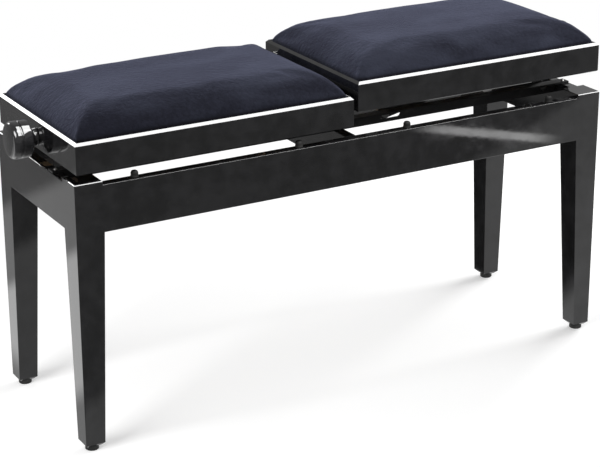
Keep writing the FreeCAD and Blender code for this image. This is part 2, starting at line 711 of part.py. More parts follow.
def bearing_plate(side):
    """Steel plate inside the outer rim board, in which the spindle turns."""
    name = "bearing_plate_" + side
    body = new_body(name)
    face = new_sketch(body, "YZ_Plane")
    draw_box(face, "-bearing_width / 2", "bearing_width / 2", "-bearing_height / 2",
             "bearing_height / 2")
    draw_circle(face, "0", "0", "spindle_radius + running_fit")
    for sign in (-1, 1):
        draw_circle(face, f"{sign} * bearing_screw_place", "0", "screw_radius + screw_clearance")
    pad(body, face, "track_thickness", reverse=True)
    place_on_side(body, side, f"{SEAT_END} - rim_thickness", "0", pivot_height(side))
    labelled(body, name)


def seat_screws(side):
    pieces = []
    for along, across in seat_screw_spots():
        piece = screw(f"seat_screw_{side}_{len(pieces)}", "screw_radius", "screw_head_radius",
                      "screw_grip")
        place_on_side(piece, side, along, across,
                      f"{underside(side)} + rebate_height - track_thickness", DOWN)
        pieces.append(piece)
    for sign in (-1, 1):
        piece = screw(f"seat_screw_{side}_{len(pieces)}", "screw_radius", "screw_head_radius",
                      "screw_grip")
        place_on_side(piece, side, f"{SEAT_END} - rim_thickness - track_thickness",
                      f"{sign} * bearing_screw_place", pivot_height(side),
                      "rotation(vector(0; 0; 1); 180)")
        pieces.append(piece)
    group("seat_screws_" + side, pieces)


def hinge_pins(side):
    """Shouldered pins, fast in the seat tracks, on which the follow arms turn."""
    web_inner = "seat_track_plane - track_thickness / 2"
    web_outer = "seat_track_plane + track_thickness / 2"
    arm_inner = "follow_arm_plane - arm_thickness / 2 - side_play"
    arm_outer = "follow_arm_plane + arm_thickness / 2 + side_play"
    profile = ((f"{web_inner} - head_thickness", "head_radius"), (web_inner, "head_radius"),
               (web_inner, "pin_radius"), (web_outer, "pin_radius"),
               (web_outer, "head_radius"), (arm_inner, "head_radius"),
               (arm_inner, "pin_radius"), (arm_outer, "pin_radius"),
               (arm_outer, "head_radius"), (f"{arm_outer} + head_thickness", "head_radius"))
    pieces = []
    for sign in (-1, 1):
        pin = turned(f"hinge_pin_{side}_{len(pieces)}", profile)
        place_on_side(pin, side, PIVOT_X, "0", pivot_height(side),
                      f"rotation(vector(0; 0; 1); {90 * sign})")
        pieces.append(pin)
    group("hinge_pins_" + side, pieces)


def seat(side):
    rim(side)
    seat_board(side)
    cushion(side)
    for row in ROWS:
        seat_track(side, row)
    bearing_plate(side)
    seat_screws(side)
    hinge_pins(side)


# ---- adjuster: knob, spindle and nut bar ------------------------------------------------------

def knob(side):
    name = "knob_" + side
    groove_in = "(knob_length - knob_groove_place - knob_groove_width)"
    groove_out = "(knob_length - knob_groove_place)"
    groove_floor = "knob_radius - knob_groove_depth"
    body = turned(name, (("knob_gap", "knob_neck_radius"),
                         ("knob_neck_length", "knob_neck_radius"),
                         ("knob_neck_length + knob_flare", "knob_radius - knob_back_bevel"),
                         ("knob_neck_length + knob_flare + knob_back_bevel", "knob_radius"),
                         (groove_in, "knob_radius"), (groove_in, groove_floor),
                         (groove_out, groove_floor), (groove_out, "knob_radius"),
                         ("knob_length", "knob_radius")))
    length = value("knob_length")
    rim_edge = [f"Edge{number}" for number, edge in enumerate(body.Shape.Edges, start=1)
                if abs(edge.BoundBox.XMin - length) < TOLERANCE and edge.Length > length]
    dress(body, "Fillet", body.Tip, rim_edge, "Radius", "knob_edge")
    drill(body, "YZ_Plane", "knob_socket", [("0", "0")], "spindle_radius")
    place_on_side(body, side, SEAT_END, "0", pivot_height(side))
    labelled(body, name)


def spindle(side):
    collar = "(rim_thickness + track_thickness + side_play)"
    body = turned("spindle_" + side, (
        ("-spindle_reach", "spindle_radius - spindle_bevel"),
        ("spindle_bevel - spindle_reach", "spindle_radius"),
        (f"-({collar} + collar_length)", "spindle_radius"),
        (f"-({collar} + collar_length)", "collar_radius"), (f"-{collar}", "collar_radius"),
        (f"-{collar}", "spindle_radius"), ("knob_socket", "spindle_radius")))
    place_on_side(body, side, SEAT_END, "0", pivot_height(side))
    labelled(body, "spindle_" + side)


def nut_bar(side):
    """Cross bar with the nut in its middle; its ends run in the seat tracks' slots."""
    name = "nut_bar_" + side
    track = "(seat_track_plane - track_thickness / 2 - side_play)"
    arm = "(lift_arm_plane + arm_thickness / 2 + side_play)"
    bar = turned(name, (
        (f"-({arm} + head_thickness)", "head_radius"), (f"-{arm}", "head_radius"),
        (f"-{arm}", "journal_radius"), (f"-{track}", "journal_radius"),
        (f"-{track}", "nut_bar_radius"), (track, "nut_bar_radius"), (track, "journal_radius"),
        (arm, "journal_radius"), (arm, "head_radius"),
        (f"{arm} + head_thickness", "head_radius")))
    nut = DOC.addObject("Part::Box", name + "_nut")
    for edge, size in (("Length", "nut_length"), ("Width", "nut_width"),
                       ("Height", "nut_height")):
        nut.setExpression(edge, bound(size))
    hole = DOC.addObject("Part::Cylinder", name + "_hole")
    hole.setExpression("Radius", bound("spindle_radius + running_fit"))
    hole.setExpression("Height", bound("nut_length + 2 * cutter_room"))
    x = f"{PIVOT_X} - {reach(side)}"
    place_on_side(bar, side, x, "0", pivot_height(side), ACROSS)
    place_on_side(nut, side, f"{x} - nut_length / 2", "-nut_width / 2",
                  f"{pivot_height(side)} - nut_height / 2")
    place_on_side(hole, side, f"{x} - nut_length / 2 - cutter_room", "0", pivot_height(side),
                  DOWN)
    blank = DOC.addObject("Part::MultiFuse", name + "_blank")
    blank.Shapes = [bar, nut]
    labelled(cut(name + "_bored", blank, hole), name)


# ---- scissor arms -----------------------------------------------------------------------------

def arm(name, holes, slot=None):
    """Flat bar with round ends, from its pivot at the origin along -X."""
    body = new_body(name)
    outline = new_sketch(body, "XZ_Plane")
    draw_slot(outline, "-arm_reach", "0", "0", "arm_half")
    for along, radius in holes:
        draw_circle(outline, along, "0", radius)
    if slot:
        low, high, radius = slot
        draw_slot(outline, low, high, "0", radius)
    pad(body, outline, "arm_thickness", middle=True)
    return body


def tilt(side):
    return f"asin({pivot_drop(side)} / arm_reach)"


def lift_arms(side):
    """The pair that turns on the base and is pulled by the nut bar, with its shaft and pins."""
    radius = "(journal_radius + lever_play)"
    half = f"(lever_slot / 2 - {radius})"
    for row, sign in ROWS.items():
        name = f"lift_arm_{row}_{side}"
        piece = arm(name, (("0", "pin_radius"), ("-arm_reach / 2", "pin_radius")),
                    (f"-(arm_reach + {half})", f"-(arm_reach - {half})", radius))
        place_on_side(piece, side, PIVOT_X, f"{sign * SIDES[side]} * lift_arm_plane",
                      TRACK_PIVOT_HEIGHT, f"rotation(vector(0; 1; 0); {tilt(side)})")
        labelled(piece, name)
    lift_shaft(side)
    cross_pins(side)


def lift_shaft(side):
    """Shaft through both lift arms, which turns in the base tracks."""
    arm_in = "(lift_arm_plane - arm_thickness / 2)"
    arm_out = "(lift_arm_plane + arm_thickness / 2)"
    web_in = "(base_track_plane - track_thickness / 2 - side_play)"
    web_out = "(base_track_plane + track_thickness / 2 + side_play)"
    half = ((f"{arm_in} - head_thickness", "pin_radius"),
            (f"{arm_in} - head_thickness", "head_radius"), (arm_in, "head_radius"),
            (arm_in, "pin_radius"), (arm_out, "pin_radius"), (arm_out, "head_radius"),
            (web_in, "head_radius"), (web_in, "pin_radius"), (web_out, "pin_radius"),
            (web_out, "rivet_radius"), (f"{web_out} + head_thickness", "rivet_radius"))
    mirrored = tuple((f"-({along})", radius) for along, radius in reversed(half))
    body = turned("lift_shaft_" + side, mirrored + half)
    place_on_side(body, side, PIVOT_X, "0", TRACK_PIVOT_HEIGHT, ACROSS)
    labelled(body, "lift_shaft_" + side)


def cross_pins(side):
    """Pins where the arms cross, fast in the lift arms and free in the follow arms."""
    inner = "(follow_arm_plane - arm_thickness / 2 - side_play)"
    outer = "(lift_arm_plane + arm_thickness / 2)"
    head = "(head_thickness - side_play)"
    profile = ((f"{inner} - {head}", "head_radius"), (inner, "head_radius"),
               (inner, "pin_radius"), (outer, "pin_radius"), (outer, "head_radius"),
               (f"{outer} + {head}", "head_radius"))
    pieces = []
    for sign in (-1, 1):
        pin = turned(f"cross_pin_{side}_{len(pieces)}", profile)
        place_on_side(pin, side, f"{PIVOT_X} - {reach(side)} / 2", "0",
                      f"{TRACK_PIVOT_HEIGHT} + {pivot_drop(side)} / 2",
                      f"rotation(vector(0; 0; 1); {90 * sign})")
        pieces.append(pin)
    group("cross_pins_" + side, pieces)


def follow_arms(side):
    """The pair that hangs from the seat and rolls in the base tracks, with its shaft."""
    for row, sign in ROWS.items():
        name = f"follow_arm_{row}_{side}"
        piece = arm(name, (("0", "pin_radius + running_fit"),
                           ("-arm_reach / 2", "pin_radius + cross_play"),
                           ("-arm_reach", "roller_shaft_radius")))
        place_on_side(piece, side, PIVOT_X, f"{sign * SIDES[side]} * follow_arm_plane",
                      pivot_height(side), f"rotation(vector(0; 1; 0); -{tilt(side)})")
        labelled(piece, name)
    roller_shaft(side)


def roller_shaft(side):
    """Shaft through both follow arms; its thicker ends roll in the base tracks' slots."""
    arm_in = "(follow_arm_plane - arm_thickness / 2)"
    arm_out = "(follow_arm_plane + arm_thickness / 2)"
    web_in = "(base_track_plane - track_thickness / 2 - side_play)"
    web_out = "(base_track_plane + track_thickness / 2)"
    half = ((f"{arm_in} - head_thickness", "roller_shaft_radius"),
            (f"{arm_in} - head_thickness", "roller_radius"), (arm_in, "roller_radius"),
            (arm_in, "roller_shaft_radius"), (arm_out, "roller_shaft_radius"),
            (arm_out, "roller_radius"), (f"{web_in} - head_thickness", "roller_radius"),
            (f"{web_in} - head_thickness", "head_radius"), (web_in, "head_radius"),
            (web_in, "roller_radius"), (web_out, "roller_radius"))
    mirrored = tuple((f"-({along})", radius) for along, radius in reversed(half))
    body = turned("roller_shaft_" + side, mirrored + half)
    place_on_side(body, side, f"{PIVOT_X} - {reach(side)}", "0", TRACK_PIVOT_HEIGHT, ACROSS)
    labelled(body, "roller_shaft_" + side)


def check_document():
    """Stop if any object failed, or if a sub-part has no valid solid."""
    for item in DOC.Objects:
        if "Invalid" in item.State or "Error" in item.State:
            raise RuntimeError(f"{item.Label} failed: {item.State}")
    for piece in PARTS:
        shape = piece.Shape
        if shape.isNull() or not shape.isValid() or not shape.Solids:
            raise RuntimeError(f"{piece.Label} has no valid solid")


def main():
    fill_sheet()
    base_frame()
    for side in SIDES:
        seat(side)
        knob(side)
        spindle(side)
        nut_bar(side)
        lift_arms(side)
        follow_arms(side)
    DOC.recompute()
    check_document()
    os.makedirs("parts", exist_ok=True)
    for piece in PARTS:
        piece.Shape.exportStep(f"parts/{piece.Label}.step")
    print(len(PARTS), "sub-parts written")


main()
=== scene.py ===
"""Duet piano bench: two velvet seats on a black lacquered frame, each over its own scissor lift.

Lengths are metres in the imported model's frame: X along the bench, Y from front to rear and +Z up,
with the floor at z = 0 and the middle of the bench at x = y = 0.
"""
import logging
import math
from dataclasses import dataclass
from enum import Enum
from typing import Any

import bmesh
import bpy
import numpy as np
from bpy.types import Material, Mesh, NodeSocket, Object, ShaderNodeTree
from mathutils import Matrix, Vector


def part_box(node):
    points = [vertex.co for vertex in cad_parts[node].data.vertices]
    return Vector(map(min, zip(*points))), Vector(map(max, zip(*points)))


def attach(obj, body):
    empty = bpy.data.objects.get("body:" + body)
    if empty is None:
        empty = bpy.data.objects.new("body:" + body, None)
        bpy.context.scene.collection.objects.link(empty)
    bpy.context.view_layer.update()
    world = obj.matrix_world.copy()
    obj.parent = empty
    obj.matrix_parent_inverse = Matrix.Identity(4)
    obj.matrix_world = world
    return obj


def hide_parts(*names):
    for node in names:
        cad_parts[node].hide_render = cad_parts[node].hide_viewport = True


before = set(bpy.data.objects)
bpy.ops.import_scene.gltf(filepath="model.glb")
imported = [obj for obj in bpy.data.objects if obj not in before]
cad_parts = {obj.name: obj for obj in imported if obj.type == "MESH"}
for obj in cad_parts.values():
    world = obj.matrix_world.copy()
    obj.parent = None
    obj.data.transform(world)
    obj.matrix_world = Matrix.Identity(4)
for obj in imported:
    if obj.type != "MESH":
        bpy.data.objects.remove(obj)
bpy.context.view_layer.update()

LOG = logging.getLogger("piano_bench")
Colour = tuple[float, float, float]
Place = tuple[float, float, float]
Pair = tuple[float, float]
Edge = tuple[Pair, float, float]
BLACK: Colour = (0.0, 0.0, 0.0)
WHITE: Colour = (1.0, 1.0, 1.0)
# the painted shade along the rim: the attribute darkens the velvet where the cover tucks in
TUCK_SHADE = "tuck"  # the cushions' attribute for how deep a point is tucked into the rim


class Side(Enum):
    """An end of the bench; the value is the sign of its outer end along X."""

    LEFT = -1
    RIGHT = 1

    @property
    def label(self) -> str:
        """The side's name as the model's nodes and bodies have it."""
        return self.name.lower()


# ---- shader values and node trees ----


class Field:
    """A socket that works in sums: each operator adds one Math node to its node tree."""

    def __init__(self, tree: "NodeTree", socket: NodeSocket | None) -> None:
        """Wrap an output socket of a node tree."""
        self.tree = tree
        self.socket = socket

    def combined(self, operation: str, *values: "float | Field") -> "Field":
        """The result of a Math node with the given operation and values."""
        return self.tree.add("ShaderNodeMath", {"operation": operation}, dict(enumerate(values)))

    def __add__(self, other: "float | Field") -> "Field":
        """This value plus another."""
        return self.combined("ADD", self, other)

    def __radd__(self, other: float) -> "Field":
        """A number plus this value."""
        return self.combined("ADD", other, self)

    def __sub__(self, other: "float | Field") -> "Field":
        """This value less another."""
        return self.combined("SUBTRACT", self, other)

    def __rsub__(self, other: float) -> "Field":
        """A number less this value."""
        return self.combined("SUBTRACT", other, self)

    def __mul__(self, other: "float | Field") -> "Field":
        """This value times another."""
        return self.combined("MULTIPLY", self, other)

    def __rmul__(self, other: float) -> "Field":
        """A number times this value."""
        return self.combined("MULTIPLY", other, self)

    def __truediv__(self, other: "float | Field") -> "Field":
        """This value divided by another."""
        return self.combined("DIVIDE", self, other)

    def part(self) -> "Field":
        """What is left of this value above its whole number."""
        return self.combined("FRACT", self)

    def size(self) -> "Field":
        """This value without its sign."""
        return self.combined("ABSOLUTE", self)

    def step(self, start: float, end: float) -> "Field":
        """A smooth step of this value.

        Args:
            start: the value up to which the step is 0.
            end: the value from which it is 1, above or below the start.

        Returns:
            The step, from 0 to 1.
        """
        inputs = {"Value": self, "From Min": start, "From Max": end}
        return self.tree.add("ShaderNodeMapRange", {"interpolation_type": "SMOOTHSTEP"}, inputs)


class NodeTree:
    """The node tree of one material or of the world."""

    def __init__(self, tree: ShaderNodeTree) -> None:
        """Empty a node tree to write in."""
        self.tree = tree
        tree.nodes.clear()

    def add(self, kind: str, settings: dict[str, Any], inputs: dict[Any, Any],
            output: str | int = 0) -> Field:
        """Add a node.

        Args:
            kind: the node's type.
            settings: the node's own properties, set first.
            inputs: values or fields, by the name or number of the socket.
            output: name or number of the output that is wanted.

        Returns:
            That output.
        """
        node = self.tree.nodes.new(kind)
        for name, value in settings.items():
            setattr(node, name, value)
        for name, value in inputs.items():
            if isinstance(value, Field):
                self.tree.links.new(value.socket, node.inputs[name])
            else:
                node.inputs[name].default_value = value
        return Field(self, node.outputs[output] if len(node.outputs) else None)

    def place(self) -> Field:
        """The point in the model's frame."""
        return self.add("ShaderNodeTexCoord", {}, {}, "Object")

    def ray(self, kind: str) -> Field:
        """One for a ray of the named kind, such as Camera, and nought for the rest."""
        return self.add("ShaderNodeLightPath", {}, {}, f"Is {kind} Ray")

    def mirrored(self) -> Field:
        """One for what gloss and glass show, and nought for the rest."""
        return self.ray("Glossy") + self.ray("Transmission")

    def axes(self, vector: Field) -> tuple[Field, Field, Field]:
        """The three parts of a vector."""
        split = self.add("ShaderNodeSeparateXYZ", {}, {0: vector}).socket.node
        return tuple(Field(self, socket) for socket in split.outputs)

    def stretched(self, vector: Field, scale: Place) -> Field:
        """A vector with each axis times its own number."""
        return self.add("ShaderNodeVectorMath", {"operation": "MULTIPLY"}, {0: vector, 1: scale})

    def blend(self, share: Field, first: "Colour | Field", second: "Colour | Field") -> Field:
        """A colour between two, at a share of the second.

        Args:
            share: the share, kept from 0 to 1.
            first: the colour at 0.
            second: the colour at 1.

        Returns:
            The mixed colour.
        """
        # The node's sockets for colours are its seventh and eighth, and its third output.
        ends = {number: colour if isinstance(colour, Field) else (*colour, 1.0)
                for number, colour in {6: first, 7: second}.items()}
        settings = {"data_type": "RGBA", "clamp_factor": True}
        return self.add("ShaderNodeMix", settings, {0: share, **ends}, 2)

    def bump(self, height: Field, depth: float, below: Field | None = None) -> Field:
        """A normal bent by a height.

        Args:
            height: the height, from 0 to 1.
            depth: how high a height of 1 stands, in metres.
            below: a normal that this one adds to.

        Returns:
            The bent normal.
        """
        inputs: dict[str, Any] = {"Height": height, "Distance": depth, "Strength": 1.0}
        if below is not None:
            inputs["Normal"] = below
        return self.add("ShaderNodeBump", {}, inputs)


class MaterialTree(NodeTree):
    """A new material and its node tree."""

    def __init__(self, name: str) -> None:
        """Make an empty material."""
        self.material = bpy.data.materials.new(name)
        self.material.use_nodes = True
        super().__init__(self.material.node_tree)

    def closed(self, shader: Field) -> Material:
        """The material, with its tree ended by a shader."""
        self.add("ShaderNodeOutputMaterial", {}, {"Surface": shader})
        return self.material

    def principled(self, inputs: dict[str, Any]) -> Material:
        """The material, with its tree ended by a Principled shader that has the given inputs."""
        return self.closed(self.add("ShaderNodeBsdfPrincipled", {}, inputs))


@dataclass(frozen=True)
class Grain:
    """Soft noise: its patches in a metre, its octaves, how much each finer octave adds, how far
    the patches are drawn out of shape, and a number for each axis that makes them longer along it
    where it is under 1."""

    scale: float
    detail: float = 2.0
    roughness: float = 0.5
    distortion: float = 0.0
    stretch: Place = (1.0, 1.0, 1.0)

    def over(self, place: Field) -> Field:
        """Lay the noise over a surface.

        Args:
            place: the point that it is read at.

        Returns:
            The noise's value, from 0 to 1 and about 0.5.
        """
        tree = place.tree
        return tree.add("ShaderNodeTexNoise", {}, {
            "Vector": tree.stretched(place, self.stretch), "Scale": self.scale,
            "Detail": self.detail, "Roughness": self.roughness, "Distortion": self.distortion})


# ---- finishes ----


@dataclass(frozen=True)
class Lacquer:
    """Sprayed and polished black lacquer: a faint orange peel, polishing haze and scuffed feet."""

    name: str = "black_lacquer"
    dark: Colour = (0.0050, 0.0050, 0.0054)
    light: Colour = (0.0150, 0.0150, 0.0160)
    clouds: Grain = Grain(7.0, 3.0)
    haze: Grain = Grain(38.0, 4.0, 0.6)
    rub: Grain = Grain(420.0, 3.0, 0.65, stretch=(1.0, 1.0, 0.25))
    peel: Grain = Grain(95.0, 1.5, 0.4)
    gloss: float = 0.035
    hazed: float = 0.05
    rubbed: float = 0.02
    scuffed: float = 0.30
    scuff_height: float = 0.07
    peel_height: float = 0.000028

    def material(self) -> Material:
        """Build the finish.

        Returns:
            The material.
        """
        tree = MaterialTree(self.name)
        place = tree.place()
        haze, rub = self.haze.over(place), self.rub.over(place)
        scuff = tree.axes(place)[2].step(self.scuff_height, 0.0) * rub.step(0.50, 0.66)
        roughness = (self.gloss + self.hazed * haze.step(0.42, 0.70)
                     + self.rubbed * rub.step(0.56, 0.70) + self.scuffed * scuff)
        cloudy = (0.4 * self.clouds.over(place) + 0.6 * haze).step(0.38, 0.62)
        return tree.principled({
            "Base Color": tree.blend(cloudy, self.dark, self.light), "Roughness": roughness,
            "IOR": 1.5, "Coat Weight": 1.0, "Coat Roughness": 0.02, "Coat IOR": 1.5,
            "Normal": tree.bump(self.peel.over(place), self.peel_height)})


@dataclass(frozen=True)
class Velvet:
    """Short-pile velvet: patches where the pile lies another way, a soft sheen, and painted shade
    where the cover tucks into the rim.
    """

    name: str = "slate_velvet"
    deep: Colour = (0.0065, 0.0068, 0.0120)
    mid: Colour = (0.0145, 0.0150, 0.0255)
    pale: Colour = (0.0270, 0.0300, 0.0450)
    # painted shade: the near-black that the velvet turns along the rim, where the cover tucks in
    tucked: Colour = (0.0020, 0.0020, 0.0030)
    lay: Grain = Grain(9.0, 2.0, 0.5, 0.5, (0.6, 1.0, 1.0))
    brush: Grain = Grain(30.0, 3.0, 0.55, 0.6, (0.5, 1.2, 1.0))
    mottle: Grain = Grain(150.0, 3.0, 0.6)
    pile: Grain = Grain(1900.0, 2.0, 0.7)
    mottle_height: float = 0.0011
    pile_height: float = 0.00035
    sheen: float = 0.47
    sheen_tint: Colour = (0.52, 0.56, 0.84)

    def material(self) -> Material:
        """Build the finish.

        Returns:
            The material.
        """
        tree = MaterialTree(self.name)
        place = tree.place()
        mottle, pile = self.mottle.over(place), self.pile.over(place)
        shade = 0.62 * self.lay.over(place) + 0.23 * self.brush.over(place) + 0.15 * mottle
        colour = tree.blend(shade.step(0.38, 0.62), self.deep, self.pale)
        colour = tree.blend(0.40 * mottle.step(0.35, 0.75), colour, self.mid)
        colour = tree.blend(0.30 * pile.step(0.52, 0.30), colour, self.deep)
        # painted shade along the rim, weighted by the attribute that the cushions carry
        tuck = tree.add("ShaderNodeAttribute", {"attribute_name": TUCK_SHADE}, {}, "Fac")
        colour = tree.blend(0.85 * tuck.step(0.0, 1.0), colour, self.tucked)
        normal = tree.bump(mottle, self.mottle_height, tree.bump(pile, self.pile_height))
        return tree.principled({
            "Base Color": colour, "Roughness": 0.82 + 0.12 * pile, "Specular IOR Level": 0.12,
            "Sheen Weight": self.sheen, "Sheen Roughness": 0.42,
            "Sheen Tint": (*self.sheen_tint, 1.0), "Normal": normal})


@dataclass(frozen=True)
class Wood:
    """Bare or stained wood with its grain along one axis, in plies where it is plywood."""

    name: str
    early: Colour
    late: Colour
    along: Place
    ply: float = 0.0
    first_ply: float = 0.0004
    roughness: float = 0.55
    figure: Grain = Grain(16.0, 4.0, 0.6, 1.4)
    rings: float = 9.0
    fibre: Grain = Grain(330.0, 3.0, 0.7)
    fibre_height: float = 0.00012

    def material(self) -> Material:
        """Build the finish.

        Returns:
            The material.
        """
        tree = MaterialTree(self.name)
        place = tree.place()
        drawn = tree.stretched(place, self.along)
        rings = (self.rings * self.figure.over(drawn)).part()
        fibre = self.fibre.over(drawn)
        share = 0.45 * (rings - 0.5).size().step(0.10, 0.46) + 0.55 * fibre
        colour = tree.blend(share, self.early, self.late)
        if self.ply > 0:
            layer = ((tree.axes(place)[2] + self.first_ply) / (2 * self.ply)).part()
            cross = (layer - 0.5).size().step(0.24, 0.26)
            shaded: Colour = tuple(0.72 * part for part in self.late)
            colour = tree.blend(0.6 * cross, colour, shaded)
        return tree.principled({
            "Base Color": colour, "Roughness": self.roughness + 0.2 * fibre,
            "Specular IOR Level": 0.3, "Normal": tree.bump(fibre, self.fibre_height)})


@dataclass(frozen=True)
class PaintedSteel:
    """Black baked paint on pressed steel, with a fine texture and dusty, rubbed spots."""

    name: str
    colour: Colour
    rubbed: Colour
    gloss: float = 0.30
    grit: Grain = Grain(520.0, 3.0, 0.6)
    patches: Grain = Grain(24.0, 4.0, 0.65)
    grit_height: float = 0.00006

    def material(self) -> Material:
        """Build the finish.

        Returns:
            The material.
        """
        tree = MaterialTree(self.name)
        place = tree.place()
        grit, patches = self.grit.over(place), self.patches.over(place)
        rub = patches.step(0.50, 0.72) * grit.step(0.45, 0.62)
        return tree.principled({
            "Base Color": tree.blend(rub, self.colour, self.rubbed),
            "Roughness": self.gloss + 0.14 * patches + 0.16 * rub, "Coat Weight": 0.25,
            "Coat Roughness": 0.25, "Normal": tree.bump(grit, self.grit_height)})


@dataclass(frozen=True)
class ZincSteel:
    """Bright zinc plating: drawn streaks, a faint warm and cool passivation and dulled spots."""

    name: str = "zinc_plate"
    cool: Colour = (0.50, 0.52, 0.56)
    warm: Colour = (0.60, 0.57, 0.50)
    gloss: float = 0.24
    tint: Grain = Grain(45.0)
    streaks: Grain = Grain(1600.0, 2.0, 0.6, stretch=(0.15, 1.0, 1.0))
    dulled: Grain = Grain(210.0, 3.0, 0.6)
    streak_height: float = 0.00002

    def material(self) -> Material:
        """Build the finish.

        Returns:
            The material.
        """
        tree = MaterialTree(self.name)
        place = tree.place()
        streaks = self.streaks.over(place)
        dulled = self.dulled.over(place).step(0.5, 0.7)
        return tree.principled({
            "Base Color": tree.blend(self.tint.over(place), self.cool, self.warm),
            "Metallic": 1.0, "Roughness": self.gloss + 0.16 * streaks + 0.22 * dulled,
            "Normal": tree.bump(streaks, self.streak_height)})


@dataclass(frozen=True)
class Moulded:
    """Moulded rubber or nylon: an even, slightly grained skin."""

    name: str
    colour: Colour
    worn: Colour
    roughness: float
    skin: Grain = Grain(900.0, 3.0, 0.6)
    bloom: Grain = Grain(70.0, 3.0, 0.6)
    skin_height: float = 0.00008

    def material(self) -> Material:
        """Build the finish.

        Returns:
            The material.
        """
        tree = MaterialTree(self.name)
        place = tree.place()
        bloom = self.bloom.over(place)
        return tree.principled({
            "Base Color": tree.blend(bloom.step(0.42, 0.72), self.colour, self.worn),
            "Roughness": self.roughness + 0.18 * bloom,
            "Normal": tree.bump(self.skin.over(place), self.skin_height)})


def make_finishes() -> dict[str, Material]:
    """Build every finish.

    Returns:
        The materials by the record's slot names.
    """
    finishes = {
        "lacquer": Lacquer(),
        "velvet": Velvet(),
        "plywood": Wood("poplar_plywood", (0.58, 0.42, 0.25), (0.42, 0.27, 0.14),
                        (0.10, 1.0, 1.0), ply=0.0015),
        "block_wood": Wood("stained_beech", (0.045, 0.038, 0.032), (0.016, 0.013, 0.012),
                           (1.0, 1.0, 0.12), roughness=0.45),
        "knob_gloss": Lacquer("polished_knob", gloss=0.05, hazed=0.04, peel_height=0.000008),
        "track_steel": PaintedSteel("painted_track", (0.016, 0.016, 0.017),
                                    (0.050, 0.049, 0.047)),
        "arm_steel": PaintedSteel("painted_bar", (0.024, 0.024, 0.025), (0.075, 0.073, 0.070),
                                  gloss=0.26),
        "zinc_steel": ZincSteel(),
        "bumper_rubber": Moulded("black_rubber", (0.014, 0.014, 0.014), (0.030, 0.029, 0.028),
                                 0.52),
        "glide_plastic": Moulded("black_nylon", (0.020, 0.020, 0.020), (0.050, 0.049, 0.047),
                                 0.38),
    }
    return {slot: finish.material() for slot, finish in finishes.items()}


# ---- surfaces ----


def quads(rows: int, columns: int) -> np.ndarray:
    """Faces of a grid of points.

    Args:
        rows: points down the grid.
        columns: points across it.

    Returns:
        The four corner numbers of every face, row by row.
    """
    first = np.arange(rows * columns).reshape(rows, columns)
    corners = (first[:-1, :-1], first[1:, :-1], first[1:, 1:], first[:-1, 1:])
    return np.stack(corners, axis=-1).reshape(-1, 4)


def shell(name: str, grids: list[np.ndarray], sharp: float = 32.0) -> Object:
    """One closed piece from grids of points.

    Points that fall together are welded, which closes seams and poles, and the faces are then
    turned to point outwards.

    Args:
        name: the piece's name.
        grids: arrays of rows x columns x 3.
        sharp: angle in degrees above which an edge is not smoothed.

    Returns:
        The object, at the origin.
    """
    counts = np.cumsum([0] + [grid.shape[0] * grid.shape[1] for grid in grids])
    points = np.concatenate([grid.reshape(-1, 3) for grid in grids])
    faces = np.concatenate([quads(*grid.shape[:2]) + start for grid, start in zip(grids, counts)])
    mesh = bpy.data.meshes.new(name)
    mesh.from_pydata(points, [], faces)
    work = bmesh.new()
    work.from_mesh(mesh)
    bmesh.ops.remove_doubles(work, verts=work.verts, dist=3e-6)
    bmesh.ops.recalc_face_normals(work, faces=work.faces)
    work.to_mesh(mesh)
    work.free()
    smooth(mesh, sharp)
    return linked(name, mesh)


def smooth(mesh: Mesh, sharp: float) -> None:
    """Shade a mesh smooth, apart from edges sharper than the given degrees."""
    mesh.polygons.foreach_set("use_smooth", np.ones(len(mesh.polygons), bool))
    mesh.set_sharp_from_angle(angle=math.radians(sharp))


def linked(name: str, mesh: Mesh) -> Object:
    """Put a mesh into the scene, at the origin.

    Args:
        name: the new object's name.
        mesh: its mesh.

    Returns:
        The object.
    """
    piece = bpy.data.objects.new(name, mesh)
    bpy.context.scene.collection.objects.link(piece)
    return piece


def rounded(corners: list[tuple[float, float, float]], steps: int = 7) -> np.ndarray:
    """A profile with rounded corners.

    Each corner C is cut back on both sides by its rounding, to A and B, and a parabola joins the
    cuts: (1 - t)^2 A + 2 t (1 - t) C + t^2 B.

    Args:
        corners: place along the axis, radius and rounding of each corner.
        steps: points on each rounding.

    Returns:
        Array of points, each a place along the axis and a radius.
    """
    listed = np.array(corners, float)
    spots, cut = listed[:, None, :2], listed[:, None, 2:]
    before = spots - np.roll(spots, 1, axis=0)
    after = np.roll(spots, -1, axis=0) - spots
    start = spots - cut * before / np.linalg.norm(before, axis=-1, keepdims=True)
    end = spots + cut * after / np.linalg.norm(after, axis=-1, keepdims=True)
    t = np.linspace(0.0, 1.0, steps)[None, :, None]
    curve = (1 - t) ** 2 * start + 2 * t * (1 - t) * spots + t ** 2 * end
    return curve.reshape(-1, 2)


def revolved(profile: np.ndarray, steps: int = 64) -> np.ndarray:
    """A profile turned about X: at angle a, y = radius sin a and z = radius cos a.

    Args:
        profile: points of place along X and radius.
        steps: faces round the axis.

    Returns:
        Grid of points.
    """
    angle = np.linspace(0.0, 2 * np.pi, steps + 1)[None, :]
    along, radius = profile[:, :1], profile[:, 1:]
    return np.stack([along + 0 * angle, radius * np.sin(angle), radius * np.cos(angle)], axis=-1)


def aimed(grid: np.ndarray, toward: Place, at: Place) -> np.ndarray:
    """Turn a grid drawn along +X to another direction, and move its origin.

    Args:
        grid: the grid of points.
        toward: the direction that +X takes.
        at: where the origin goes.

    Returns:
        The placed grid.
    """
    turn = Vector((1.0, 0.0, 0.0)).rotation_difference(Vector(toward)).to_matrix()
    return grid @ np.array(turn).T + np.array(at)


